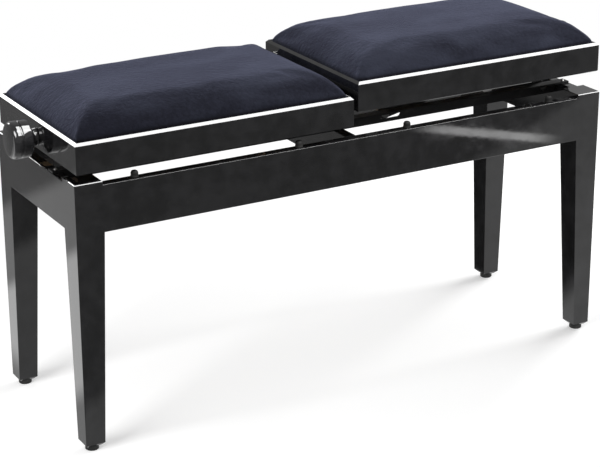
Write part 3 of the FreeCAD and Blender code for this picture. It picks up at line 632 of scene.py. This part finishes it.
def outward(grid: np.ndarray, node: str, side: Side) -> np.ndarray:
    """Set a grid drawn along +X on a node's axis, from the node's inner end outward.

    Args:
        grid: the grid of points.
        node: the model's node.
        side: the end of the bench that it is at.

    Returns:
        The placed grid.
    """
    low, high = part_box(node)
    inner = low.x if side is Side.RIGHT else high.x
    at = (inner, (low.y + high.y) / 2, (low.z + high.z) / 2)
    return aimed(grid, (float(side.value), 0.0, 0.0), at)


def finished(piece: Object, material: Material, slot: str, body: str,
             *nodes: str) -> Object:
    """Dress a new piece and tie it to the model.

    Args:
        piece: the new piece.
        material: its finish.
        slot: the record's slot of that finish; not used.
        body: the body it rides on.
        nodes: the model's nodes that it stands for.

    Returns:
        The same piece.
    """
    piece.data.materials.clear()
    piece.data.materials.append(material)
    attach(piece, body)
    if nodes:
        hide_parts(*nodes)
    LOG.info("%s: %d faces, on %s", piece.name, len(piece.data.polygons), body)
    return piece


# ---- seats ----


@dataclass
class Cushion:
    """Velvet over foam: an upright edge in the rim, rounded slopes with soft hips, a low crown."""

    side: Side
    wall: float = 0.0118
    run: float = 0.052
    rise: float = 0.0325
    roundness: float = 2.6
    crown: float = 0.0030
    hip: float = 0.009
    rings_under: int = 12
    rings_over: int = 48
    side_steps: int = 40
    voxel: float = 0.005
    pressure: float = 4.0
    stretch_stiffness: float = 25.0
    shear_stiffness: float = 12.0
    bending_stiffness: float = 1.5
    cloth_mass: float = 0.3
    cloth_quality: int = 6
    easing: int = 8
    frames: int = 20
    cap: float = 0.004
    hidden: float = 0.0085
    clearance: float = 0.0003
    # shaded: the height above the rim top over which the painted shade along the rim fades out
    shaded: float = 0.006
    tuck: float = 0.0006
    pleat_depth: float = 0.0011
    pleat_width: float = 0.0024
    pleat_length: float = 0.062
    pleat_start: float = 0.004
    puff: float = 0.0006
    puff_place: float = 0.0065
    puff_width: float = 0.0032
    ripple: float = 0.00013

    def __post_init__(self) -> None:
        """Take the cushion's room from the model's solid."""
        low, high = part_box("cushion_" + self.side.label)
        self.low, self.high = np.array(low), np.array(high)
        self.middle = (self.low + self.high) / 2
        self.half = (self.high - self.low) / 2

    def height(self, inset: np.ndarray) -> np.ndarray:
        """How high the cover stands above the cushion's underside.

        With d the smaller of the two insets from the edges, less a share of the hip's size near
        the diagonals, and t = d / run up to 1: wall + rise * (1 - (1 - t) ^ roundness), and a
        crown that falls away as the product of two parabolas.

        Args:
            inset: distances from the nearer end and the nearer long edge, on the last axis.

        Returns:
            The heights.
        """
        nearer, farther = inset.min(axis=-1), inset.max(axis=-1)
        soft = np.minimum(self.hip, 0.45 * nearer) + 1e-6
        depth = nearer - 0.45 * soft * np.exp(-((farther - nearer) / (1.6 * soft)) ** 2)
        t = np.clip(depth / self.run, 0.0, 1.0)
        middle = 1.0 - (1.0 - np.clip(inset / self.half[:2], 0.0, 1.0)) ** 2
        return (self.wall + self.rise * (1.0 - (1.0 - t) ** self.roundness)
                + self.crown * middle[..., 0] * middle[..., 1])

    def blank(self) -> Object:
        """The sewn cover before it fills: rectangular rings, from the middle of the underside out
        to the edge, up the wall and in over the slopes to the middle of the crown.

        Returns:
            The closed starting shape, slightly smaller than the finished cushion.
        """
        inner = self.half[1] - self.clearance
        under = inner * (1.0 - np.linspace(0.0, 1.0, self.rings_under))
        over = inner * np.linspace(0.0, 1.0, self.rings_over) ** 1.3
        inset = np.concatenate([under, np.zeros(2), over])
        side = np.linspace(-1.0, 1.0, self.side_steps + 1)[:-1]
        one = np.ones(self.side_steps)
        corners = np.concatenate([np.stack(pair, axis=1) for pair in
                                  ((side, -one), (one, side), (-side, one), (-one, -side))]
                                 + [[[-1.0, -1.0]]])
        flat = (self.half[:2] - self.clearance - inset[:, None, None]) * corners[None, :, :]
        height = self.height(self.half[:2] - np.abs(flat))
        edge = self.rings_under
        height[:edge] = self.clearance
        height[edge], height[edge + 1] = 0.35 * self.wall, 0.70 * self.wall
        grid = np.concatenate([flat + self.middle[:2], (self.low[2] + height)[..., None]],
                              axis=-1)
        return shell("cushion_blank_" + self.side.label, [grid])

    def even(self, blank: Object) -> Object:
        """Lay an even net of faces over the starting shape.

        Args:
            blank: the starting shape.

        Returns:
            The same shape in faces of one size, without any modifier.
        """
        remesh = blank.modifiers.new("grid", "REMESH")
        remesh.mode = "VOXEL"
        remesh.voxel_size = self.voxel
        net = bpy.data.meshes.new_from_object(
            blank.evaluated_get(bpy.context.evaluated_depsgraph_get()))
        bpy.data.objects.remove(blank)
        return linked("cushion_cover_" + self.side.label, net)

    def swell(self, cover: Object) -> None:
        """Fill the cover: cloth under even pressure, held where it is tucked into the rim.

        Args:
            cover: the cover, which is left with its filled shape and no modifier.
        """
        start = coordinates(cover.data)
        held = cover.vertex_groups.new(name="held")
        tucked = np.flatnonzero(start[:, 2] < self.low[2] + self.hidden)
        held.add(tucked.tolist(), 1.0, "REPLACE")
        cloth = cover.modifiers.new("fill", "CLOTH")
        velvet = cloth.settings
        velvet.vertex_group_mass = "held"
        velvet.quality = self.cloth_quality
        velvet.mass = self.cloth_mass
        velvet.tension_stiffness = velvet.compression_stiffness = self.stretch_stiffness
        velvet.shear_stiffness = self.shear_stiffness
        velvet.bending_stiffness = self.bending_stiffness
        velvet.use_pressure = True
        velvet.uniform_pressure_force = self.pressure
        velvet.effector_weights.gravity = 0.0
        cloth.collision_settings.use_collision = False
        cloth.point_cache.frame_start = 1
        cloth.point_cache.frame_end = self.frames
        for number in range(1, self.frames + 1):
            bpy.context.scene.frame_set(number)
        swollen = cover.evaluated_get(bpy.context.evaluated_depsgraph_get())
        shift = coordinates(swollen.to_mesh()) - start
        far = np.linalg.norm(shift, axis=1, keepdims=True)
        kept = self.cap * np.tanh(far / self.cap)
        points = start + shift * kept / np.maximum(far, 1e-9)
        LOG.info("%s: swelled %.1f mm at most and %.1f mm on average, kept to %.1f mm",
                 cover.name, 1000 * far.max(), 1000 * far.mean(), 1000 * kept.max())
        cover.modifiers.clear()
        cover.vertex_groups.clear()
        cover.data.vertices.foreach_set("co", points.astype(np.float32).ravel())

    def sewn(self, cover: Object) -> Object:
        """Ease and subdivide the cover, then press the corner pleats and the tuck into it.

        The pleats are grooves along the diagonals from the corners: depth times a bell curve of
        the distance to the diagonal, with a slight puff beside it, fading towards the crown. The
        tucked sides draw in by a cosine along each side.

        Args:
            cover: the filled shape.

        Returns:
            The finished cushion.
        """
        eased = cover.modifiers.new("eased", "SMOOTH")
        eased.factor, eased.iterations = 0.5, self.easing
        finer = cover.modifiers.new("finer", "SUBSURF")
        finer.levels = finer.render_levels = 1
        mesh = bpy.data.meshes.new_from_object(
            cover.evaluated_get(bpy.context.evaluated_depsgraph_get()))
        bpy.data.objects.remove(cover)
        points = coordinates(mesh)
        place = points[:, :2] - self.middle[:2]
        inset = self.half[:2] - np.abs(place)
        apart = (inset[:, 0] - inset[:, 1]) / math.sqrt(2.0)
        along = (inset[:, 0] + inset[:, 1]) / math.sqrt(2.0)
        above = np.clip((points[:, 2] - self.low[2] - self.hidden) / self.pleat_start, 0.0, 1.0)
        fade = np.clip(1.0 - along / self.pleat_length, 0.0, 1.0) ** 0.7
        groove = self.pleat_depth * np.exp(-(apart / self.pleat_width) ** 2)
        beside = self.puff * np.exp(-((np.abs(apart) - self.puff_place) / self.puff_width) ** 2)
        points[:, 2] += above * (fade * (beside - groove) + self.ripples(points))
        drawn = self.tuck * np.cos(0.5 * np.pi * place / self.half[:2])[:, ::-1]
        room = self.half[:2] - self.clearance - drawn
        points[:, :2] = self.middle[:2] + np.clip(place, -room, room)
        points[:, 2] = np.maximum(points[:, 2], self.low[2] + self.clearance)
        mesh.vertices.foreach_set("co", points.astype(np.float32).ravel())
        # painted shade along the rim: 1 at the rim top and below, fading out over the shaded height
        # above it
        above_rim = points[:, 2] - self.low[2] - self.hidden
        tucked = 1.0 - np.clip(above_rim / self.shaded, 0.0, 1.0)
        shading = mesh.attributes.new(TUCK_SHADE, "FLOAT", "POINT")
        shading.data.foreach_set("value", tucked.astype(np.float32))
        smooth(mesh, 60.0)
        return linked("velvet_cushion_" + self.side.label, mesh)

    def ripples(self, points: np.ndarray) -> np.ndarray:
        """Slight unevenness of the foam: the sum of four crossed sine waves 60 to 120 mm long.

        Args:
            points: places on the cover.

        Returns:
            How far each of them rises.
        """
        x, y = points[:, 0] * self.side.value, points[:, 1]
        return self.ripple * (
            np.sin(47 * x + 21 * y + 0.6) + np.sin(-31 * x + 58 * y + 2.1)
            + np.sin(83 * x + 12 * y + 4.0) + 0.6 * np.sin(64 * x - 77 * y + 1.0))

    def build(self, material: Material) -> None:
        """Make the cushion, riding on its seat.

        Args:
            material: the velvet.
        """
        cover = self.even(self.blank())
        self.swell(cover)
        piece = self.sewn(cover)
        side = self.side.label
        finished(piece, material, "velvet", "seat_" + side, "cushion_" + side)


def coordinates(mesh: Mesh) -> np.ndarray:
    """The places of a mesh's vertices.

    Args:
        mesh: the mesh.

    Returns:
        Array of vertices x 3.
    """
    points = np.empty(len(mesh.vertices) * 3, np.float32)
    mesh.vertices.foreach_get("co", points)
    return points.reshape(-1, 3).astype(float)


# ---- knob and spindle ----


@dataclass
class Knob:
    """Turned knob: waisted neck, barrel grip, a groove near its face and a slightly domed face."""

    side: Side
    neck: float = 0.014
    neck_waist: float = 0.0012
    neck_end: float = 0.009
    grip_start: float = 0.0145
    groove: float = 0.0305
    groove_half: float = 0.0016
    groove_depth: float = 0.0017
    edge: float = 0.0075
    dome: float = 0.0016

    def build(self, material: Material) -> Object:
        """Make the knob in its node's room.

        Args:
            material: the knob's finish.

        Returns:
            The knob.
        """
        name = "knob_" + self.side.label
        low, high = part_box(name)
        length = high.x - low.x
        radius = (high.y - low.y) / 2
        start, end = self.groove - self.groove_half, self.groove + self.groove_half
        profile = rounded([
            (0.0, 0.0, 0.0), (0.0, self.neck, 0.0008),
            (self.neck_end, self.neck - self.neck_waist, 0.0035),
            (self.grip_start, radius - 0.0006, 0.0022), (start, radius, 0.0006),
            (start + 0.0005, radius - self.groove_depth, 0.0005),
            (end - 0.0005, radius - self.groove_depth, 0.0005), (end, radius, 0.0006),
            (length - self.dome, radius - 0.0004, self.edge),
            (length, 0.0, 0.0)], 10)
        piece = shell("turned_" + name, [outward(revolved(profile, 112), name, self.side)], 40.0)
        return finished(piece, material, "knob_gloss", "adjuster_" + self.side.label, name)


@dataclass
class Spindle:
    """Steel spindle with a two-start thread, a collar and a plain journal for its bearing."""

    side: Side
    radius: float = 0.005
    root: float = 0.0041
    lead: float = 0.006
    starts: int = 2
    valley: float = 0.13
    flank: float = 0.16
    taper: float = 0.0015
    rings: int = 10
    collar: float = 0.009
    collar_length: float = 0.005
    journal_end: float = 0.0233
    socket: float = 0.025
    runout: float = 0.012

    def build(self, material: Material) -> None:
        """Make the spindle in its node's room.

        The thread is a height on the cylinder: at place s and angle a its phase is
        starts * (s / lead - a / 2 pi), and the radius goes from root to crest over the flanks,
        whose width is a share of the phase, as that of half a valley is.

        Args:
            material: the zinc plating.
        """
        name = "spindle_" + self.side.label
        low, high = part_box(name)
        length = high.x - low.x
        plain_end = self.socket + self.journal_end + self.collar_length + self.runout
        thread_end = length - plain_end
        count = int(thread_end / self.lead * self.starts * self.rings)
        s = np.linspace(0.0, thread_end, count)[:, None]
        angle = np.linspace(0.0, 2 * np.pi, 33)[None, :]
        phase = np.mod(self.starts * (s / self.lead - angle / (2 * np.pi)), 1.0)
        tooth = np.clip((0.5 - np.abs(phase - 0.5) - self.valley) / self.flank, 0.0, 1.0)
        near_end = np.clip(np.minimum(s, thread_end - s) / self.taper, 0.0, 1.0)
        crest = self.root + (self.radius - self.root) * tooth * near_end
        thread = np.stack([s + 0 * angle, crest * np.sin(angle), crest * np.cos(angle)], axis=-1)
        tip = revolved(rounded([(0.0, 0.0, 0.0), (0.0, self.root, 0.0)], 2), 32)
        start, end = thread_end + self.runout, thread_end + self.runout + self.collar_length
        plain = revolved(rounded([
            (thread_end, self.root, 0.0), (thread_end + self.taper, self.radius, 0.0003),
            (start, self.radius, 0.0002), (start, self.collar, 0.0007),
            (end, self.collar, 0.0007), (end, self.radius, 0.0002),
            (length, self.radius, 0.0006), (length, 0.0, 0.0)], 4), 32)
        grids = [outward(grid, name, self.side) for grid in (tip, thread, plain)]
        piece = shell("threaded_" + name, grids, 45.0)
        finished(piece, material, "zinc_steel", "adjuster_" + self.side.label, name)


# ---- small hardware ----


@dataclass(frozen=True)
class Screw:
    """Pan-head wood screw with a cross recess, drawn along +X from the head's underside."""

    shank: float
    head: float
    height: float
    grip: float

    def grid(self) -> np.ndarray:
        """The whole screw as one turned grid, with the recess pressed into the head.

        The recess is three quarters of the head's height deep times two ramps, which fall from 1
        to 0 at an arm's sides and at its ends.

        Returns:
            Grid of points.
        """
        outline = rounded([
            (-self.grip, 0.0, 0.0), (-0.8 * self.grip, self.shank, 0.0004),
            (0.0, self.shank, 0.0), (0.0, self.head, 0.0001),
            (0.25 * self.height, self.head, 0.0003),
            (self.height, 0.55 * self.head, 0.0006)], 4)
        rings = np.linspace(0.5 * self.head, 0.0, 9)
        crown = np.stack([np.full(9, self.height), rings], axis=1)
        points = revolved(np.concatenate([outline, crown]), 40)
        near = np.minimum(np.abs(points[..., 1]), np.abs(points[..., 2]))
        far = np.maximum(np.abs(points[..., 1]), np.abs(points[..., 2]))
        arm = np.clip((0.17 * self.head - near) / (0.08 * self.head), 0.0, 1.0)
        inside = np.clip((0.50 * self.head - far) / (0.10 * self.head), 0.0, 1.0)
        top = points[..., 0] > 0.9 * self.height
        points[..., 0] -= 0.75 * self.height * arm * inside * top
        return points


def all_round(along: Pair, across: float, level: float) -> list[Place]:
    """Places left and right of the bench's middle, in front of it and behind it."""
    rows = (-across, across)
    return [(x * side.value, y, level) for x in along for side in Side for y in rows]


@dataclass
class Hardware:
    """Screws and bumpers, each drawn once and set in all its places."""

    track_screw: Screw = Screw(0.00175, 0.0034, 0.0022, 0.017)
    seat_screw: Screw = Screw(0.002, 0.004, 0.0022, 0.010)
    track_screw_x: Pair = (0.0045, 0.479)
    track_screw_y: float = 0.0625
    seat_screw_x: tuple[float, ...] = (0.413, 0.238, 0.063)
    seat_screw_y: float = 0.025
    seat_flange: float = 0.003
    bearing_screw_y: float = 0.022
    bearing_screw_x: float = 0.460
    bumper_x: Pair = (0.101, 0.386)
    bumper_y: float = 0.147
    bumper_radius: float = 0.0065

    def track_screws(self, material: Material) -> None:
        """Make the eight screws on the base tracks' flanges, heads up, as one piece.

        Args:
            material: the zinc plating.
        """
        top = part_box("base_track_screws")[1].z - self.track_screw.height
        grid = self.track_screw.grid()
        places = all_round(self.track_screw_x, self.track_screw_y, top)
        piece = shell("cross_head_track_screws",
                      [aimed(grid, (0.0, 0.0, 1.0), place) for place in places])
        finished(piece, material, "zinc_steel", "base", "base_track_screws")

    def seat_screws(self, side: Side, material: Material) -> None:
        """Make one seat's screws: heads down in its tracks, and inward in its bearing plate.

        Args:
            side: the seat's end of the bench.
            material: the zinc plating.
        """
        name = "seat_screws_" + side.label
        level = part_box("seat_track_front_" + side.label)[1].z - self.seat_flange
        axis = sum(v.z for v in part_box("spindle_" + side.label)) / 2
        grid = self.seat_screw.grid()
        rows = (-1.0, 1.0)
        grids = [aimed(grid, (0.0, 0.0, -1.0), (x * side.value, y * self.seat_screw_y, level))
                 for x in self.seat_screw_x for y in rows]
        grids += [aimed(grid, (-float(side.value), 0.0, 0.0),
                        (self.bearing_screw_x * side.value, y * self.bearing_screw_y, axis))
                  for y in rows]
        piece = shell("cross_head_" + name, grids)
        finished(piece, material, "zinc_steel", "seat_" + side.label, name)

    def bumpers(self, material: Material) -> None:
        """Make the rubber buttons on the apron tops: a foot ring, a waist and a rounded top.

        Args:
            material: the rubber.
        """
        low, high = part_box("seat_bumpers")
        height, radius = high.z - low.z, self.bumper_radius
        profile = rounded([
            (0.0, 0.0, 0.0), (0.0, radius, 0.0004), (0.22 * height, radius, 0.0008),
            (0.30 * height, 0.90 * radius, 0.0006), (0.72 * height, 0.92 * radius, 0.0020),
            (height, 0.62 * radius, 0.0022), (height, 0.24 * radius, 0.0004),
            (0.86 * height, 0.20 * radius, 0.0002), (0.86 * height, 0.0, 0.0)], 6)
        grid = revolved(profile, 40)
        places = all_round(self.bumper_x, self.bumper_y, low.z)
        piece = shell("rubber_seat_bumpers",
                      [aimed(grid, (0.0, 0.0, 1.0), place) for place in places])
        finished(piece, material, "bumper_rubber", "base", "seat_bumpers")


# ---- studio ----


class Reach(Enum):
    """What a lamp lights; its reflections stay off everything else."""

    BENCH = "all but the floor"
    FLOOR = "the floor"
    KNOBS = "the two knobs"


@dataclass(frozen=True)
class SoftLamp:
    """A large flat lamp that reflections and shadows see, and the camera doesn't."""

    name: str
    place: Place
    aim: Place
    along: Place
    width: float
    height: float
    radiance: float
    reach: Reach

    def build(self, floor: Object, knobs: list[Object]) -> None:
        """Put the lamp up. Its power is radiance times pi times its area.

        Args:
            floor: the studio floor.
            knobs: the bench's knobs.
        """
        lamp = bpy.data.lights.new(self.name, "AREA")
        lamp.shape = "RECTANGLE"
        lamp.size, lamp.size_y = self.width, self.height
        lamp.energy = self.radiance * math.pi * self.width * self.height
        holder = bpy.data.objects.new(self.name, lamp)
        holder.location = self.place
        away = (Vector(self.place) - Vector(self.aim)).normalized()
        across = away.cross(Vector(self.along)).normalized()
        turned = Matrix((across.cross(away), across, away)).transposed()
        holder.rotation_euler = turned.to_euler()
        holder.visible_camera = False
        bpy.context.scene.collection.objects.link(holder)
        lit = bpy.data.collections.new(self.name + "_reach")
        for thing in knobs if self.reach is Reach.KNOBS else [floor]:
            lit.objects.link(thing)
        if self.reach is Reach.BENCH:
            lit.collection_objects[0].light_linking.link_state = "EXCLUDE"
        holder.light_linking.receiver_collection = lit


@dataclass(frozen=True)
class Patch:
    """A patch of painted reflection: grey on the floor that only polish and glass mirror.

    Each edge is a direction on the floor, and the two distances along it from the middle of the
    bench between which the patch comes in.
    """

    level: float
    edges: tuple[Edge, ...]

    def grey(self, tree: NodeTree, place: Field) -> Field:
        """The patch as a field: its level times the smooth step of every edge.

        Args:
            tree: the floor's node tree.
            place: the point on the floor.

        Returns:
            The grey that it adds.
        """
        x, y, _ = tree.axes(place)
        grey = self.level
        for (across, back), start, end in self.edges:
            grey = grey * (across * x + back * y).step(start, end)
        return grey


def both_edges(direction: Pair, middle: Pair, outer: float, inner: float) -> tuple[Edge, Edge]:
    """The edges of a patch that comes in from an outer to an inner distance from its middle."""
    at = direction[0] * middle[0] + direction[1] * middle[1]
    return (direction, at - outer, at - inner), (direction, at + outer, at + inner)


# Directions and places of the painted reflection patches: grey levels on the floor that only glossy
# and glass rays see, lighter and darker where the lacquer's reflections are wanted.
ALONG: Pair = (1.0, 0.0)
AWAY: Pair = (0.4913, 0.8710)
CARD_MIDDLE: Pair = (0.985, -1.19)
PAPER_REAR: Edge = (AWAY, 0.20, 0.14)
FLOOR_BEYOND: tuple[Edge, Edge] = ((AWAY, 0.14, 0.20), (AWAY, 0.50, 0.42))
PAINTED_REFLECTION_PATCHES: dict[str, Patch] = {
    "paper": Patch(0.27, ((AWAY, -0.51, -0.45), PAPER_REAR)),
    "paper to the left": Patch(0.65, ((ALONG, -0.50, -0.55), (AWAY, -0.27, -0.20), PAPER_REAR)),
    "paper to the right": Patch(0.16, ((ALONG, 0.15, 0.60), (AWAY, -0.35, 0.0), PAPER_REAR)),
    "floor beyond it, left": Patch(0.26, (*FLOOR_BEYOND, (ALONG, -0.40, -0.55))),
    "floor beyond it, right": Patch(0.416, (*FLOOR_BEYOND, (ALONG, 0.43, 0.47))),
    # painted shade in the reflection, behind the bench
    "shade behind it": Patch(-0.14, ((AWAY, 0.13, 0.17), (ALONG, -0.35, -0.25),
                                     (ALONG, 0.46, 0.42))),
    # a painted highlight: a bright patch that glows in reflections only, with no lamp behind it
    "painted bright card in front": Patch(2.6, (*both_edges((0.69, 0.73), CARD_MIDDLE, 0.19, 0.09),
                                        *both_edges((0.73, -0.69), CARD_MIDDLE, 0.045, 0.015))),
}


@dataclass(frozen=True)
class Studio:
    """White room: a pale floor that keeps soft shadows, plain light all round and soft lamps, and a
    painted reflection of the floor in grey patches that only polish and glass see.
    """

    ambient: float = 0.42
    reflected: float = 0.30
    glow: float = 0.31
    floor_half: float = 9.0
    floor_fade: Pair = (0.9, 1.7)
    # levels of the painted reflection of the floor: its base grey and the brightest grey it can
    # reach
    mirrored_floor: float = 0.17
    mirrored_brightest: float = 3.0
    lamps: tuple[SoftLamp, ...] = (
        SoftLamp("overhead_strip", (0.92, -0.76, 2.10), (0.92, -0.76, 0.0), (1.0, 0.0, 0.0),
                 2.5, 0.45, 12.0, Reach.BENCH),
        SoftLamp("rear_box", (-1.21, 2.20, 1.36), (-0.48, 0.0, 0.50), (1.0, 0.0, 0.0),
                 0.55, 0.62, 9.0, Reach.BENCH),
        SoftLamp("left_box", (-2.35, -0.10, 1.55), (-0.3, 0.0, 0.4), (0.0, 1.0, 0.0),
                 0.8, 0.8, 2.6, Reach.BENCH),
        SoftLamp("knob_top_card", (0.12, -0.95, 2.10), (0.12, -0.95, 0.0), (1.0, 0.0, 0.0),
                 0.55, 2.4, 10.0, Reach.KNOBS),
        SoftLamp("knob_side_card", (-1.85, -0.80, 1.75), (-0.5, 0.0, 0.48), (0.0, 1.0, 0.0),
                 1.1, 1.1, 10.0, Reach.KNOBS),
        SoftLamp("left_floor_box", (-2.40, -0.62, 0.78), (0.0, 0.0, 0.0), (0.0, 1.0, 0.0),
                 1.3, 0.6, 22.0, Reach.FLOOR),
        SoftLamp("right_floor_box", (2.45, 0.50, 0.80), (0.0, 0.0, 0.0), (0.0, 1.0, 0.0),
                 1.3, 0.6, 22.0, Reach.FLOOR),
    )

    def world(self) -> None:
        """Light from all round: white to the camera, plain light to surfaces."""
        world = bpy.data.worlds.new("white_room")
        bpy.context.scene.world = world
        world.use_nodes = True
        tree = NodeTree(world.node_tree)
        strength = (self.ambient + (1.0 - self.ambient) * tree.ray("Camera")
                    + (self.reflected - self.ambient) * tree.mirrored())
        light = tree.add("ShaderNodeBackground", {}, {"Color": tree.blend(strength, BLACK, WHITE)})
        tree.add("ShaderNodeOutputWorld", {}, {"Surface": light})

    def painted_reflection(self, tree: NodeTree, place: Field) -> Field:
        """The painted reflection of the floor, a grey glow that only polish and glass see: its own
        level plus that of every patch on it.

        Args:
            tree: the floor's node tree.
            place: the point on the floor.

        Returns:
            The shader.
        """
        patches = (patch.grey(tree, place) for patch in PAINTED_REFLECTION_PATCHES.values())
        level = sum(patches, self.mirrored_floor)
        brightest: Colour = (self.mirrored_brightest,) * 3
        grey = tree.blend(level / self.mirrored_brightest, BLACK, brightest)
        return tree.add("ShaderNodeEmission", {}, {"Color": grey})

    def floor_material(self) -> Material:
        """White paper on the floor, lighter than white to the camera outside its shadows. Polish
        and glass see the painted reflection patches instead, and other rays a matt grey.

        Returns:
            The floor's material.
        """
        tree = MaterialTree("white_paper")
        place = tree.place()
        distance = tree.add("ShaderNodeVectorMath", {"operation": "LENGTH"}, {0: place}, "Value")
        matt = tree.add("ShaderNodeBsdfDiffuse", {}, {"Color": (0.82, 0.82, 0.82, 1.0)})
        lit = tree.add("ShaderNodeBsdfDiffuse", {}, {"Color": (0.92, 0.92, 0.92, 1.0)})
        glow = tree.add("ShaderNodeEmission", {}, {"Strength": self.glow})
        near = tree.add("ShaderNodeAddShader", {}, {0: lit, 1: glow})
        white = tree.add("ShaderNodeEmission", {}, {"Strength": 1.0})
        shown = tree.add("ShaderNodeMixShader", {},
                         {0: distance.step(*self.floor_fade), 1: near, 2: white})
        # the painted reflection, which glossy and glass rays see in place of the paper
        paper = self.painted_reflection(tree, place)
        inner = tree.add("ShaderNodeMixShader", {}, {0: tree.mirrored(), 1: matt, 2: paper})
        seen = tree.ray("Camera")
        return tree.closed(tree.add("ShaderNodeMixShader", {}, {0: seen, 1: inner, 2: shown}))

    def build(self, knobs: list[Object]) -> None:
        """Set up the world, the floor and the lamps.

        Args:
            knobs: the bench's knobs, which have cards of their own to mirror.
        """
        self.world()
        line = np.linspace(-self.floor_half, self.floor_half, 3)
        x, y = np.meshgrid(line, line, indexing="ij")
        mesh = bpy.data.meshes.new("studio_floor")
        mesh.from_pydata(np.stack([x, y, 0 * x], axis=-1).reshape(-1, 3), [], quads(3, 3))
        floor = linked("studio_floor", mesh)
        mesh.materials.append(self.floor_material())
        for lamp in self.lamps:
            lamp.build(floor, knobs)
        bpy.context.scene.view_settings.view_transform = "Standard"
        LOG.info("studio: %d lamps; polish mirrors %s", len(self.lamps),
                 ", ".join(PAINTED_REFLECTION_PATCHES))


@dataclass(frozen=True)
class StudioCamera:
    """The camera, by its direction from the bench, its distance and its lens."""

    azimuth: float = -29.47
    elevation: float = 19.72
    roll: float = -0.27
    distance: float = 3.1878
    target: Place = (-0.0164, 0.0, 0.2917)
    lens: float = 113.24
    shift: float = -0.06

    def build(self) -> None:
        """Put the camera up and make it the scene's own."""
        turn, lift = math.radians(self.azimuth), math.radians(self.elevation)
        back = Vector((math.sin(turn) * math.cos(lift), -math.cos(turn) * math.cos(lift),
                       math.sin(lift)))
        right = Vector((math.cos(turn), math.sin(turn), 0.0))
        up = back.cross(right)
        basis = Matrix((right, up, back)).transposed()
        basis = basis @ Matrix.Rotation(math.radians(self.roll), 3, "Z")
        data = bpy.data.cameras.new("studio_camera")
        data.lens, data.sensor_width, data.shift_y = self.lens, 36.0, self.shift
        camera = bpy.data.objects.new("studio_camera", data)
        camera.matrix_world = (Matrix.Translation(Vector(self.target) + back * self.distance)
                               @ basis.to_4x4())
        bpy.context.scene.collection.objects.link(camera)
        bpy.context.scene.camera = camera


# ---- the bench ----


@dataclass
class PianoBench:
    """The whole bench: the model's own nodes in their finishes, and the pieces made here."""

    finishes: dict[str, Material]

    def dress_nodes(self) -> None:
        """Give every node of the model the finish of its slot."""
        for name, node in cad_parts.items():
            for slot in node.material_slots:
                slot.material = self.finishes[slot.material.name.split(".")[0]]
            LOG.info("%s: %s", name, ", ".join(s.material.name for s in node.material_slots))

    def build(self) -> list[Object]:
        """Dress the nodes, then make the pieces that stand for the plainer ones.

        Returns:
            The two knobs.
        """
        self.dress_nodes()
        knobs = []
        hardware = Hardware()
        hardware.track_screws(self.finishes["zinc_steel"])
        hardware.bumpers(self.finishes["bumper_rubber"])
        for side in Side:
            Cushion(side).build(self.finishes["velvet"])
            knobs.append(Knob(side).build(self.finishes["knob_gloss"]))
            Spindle(side).build(self.finishes["zinc_steel"])
            hardware.seat_screws(side, self.finishes["zinc_steel"])
        return knobs


def main() -> None:
    """Build the bench, the studio and the camera."""
    logging.basicConfig(level=logging.INFO, format="%(message)s")
    Studio().build(PianoBench(make_finishes()).build())
    StudioCamera().build()


if __name__ == "__main__":
    main()
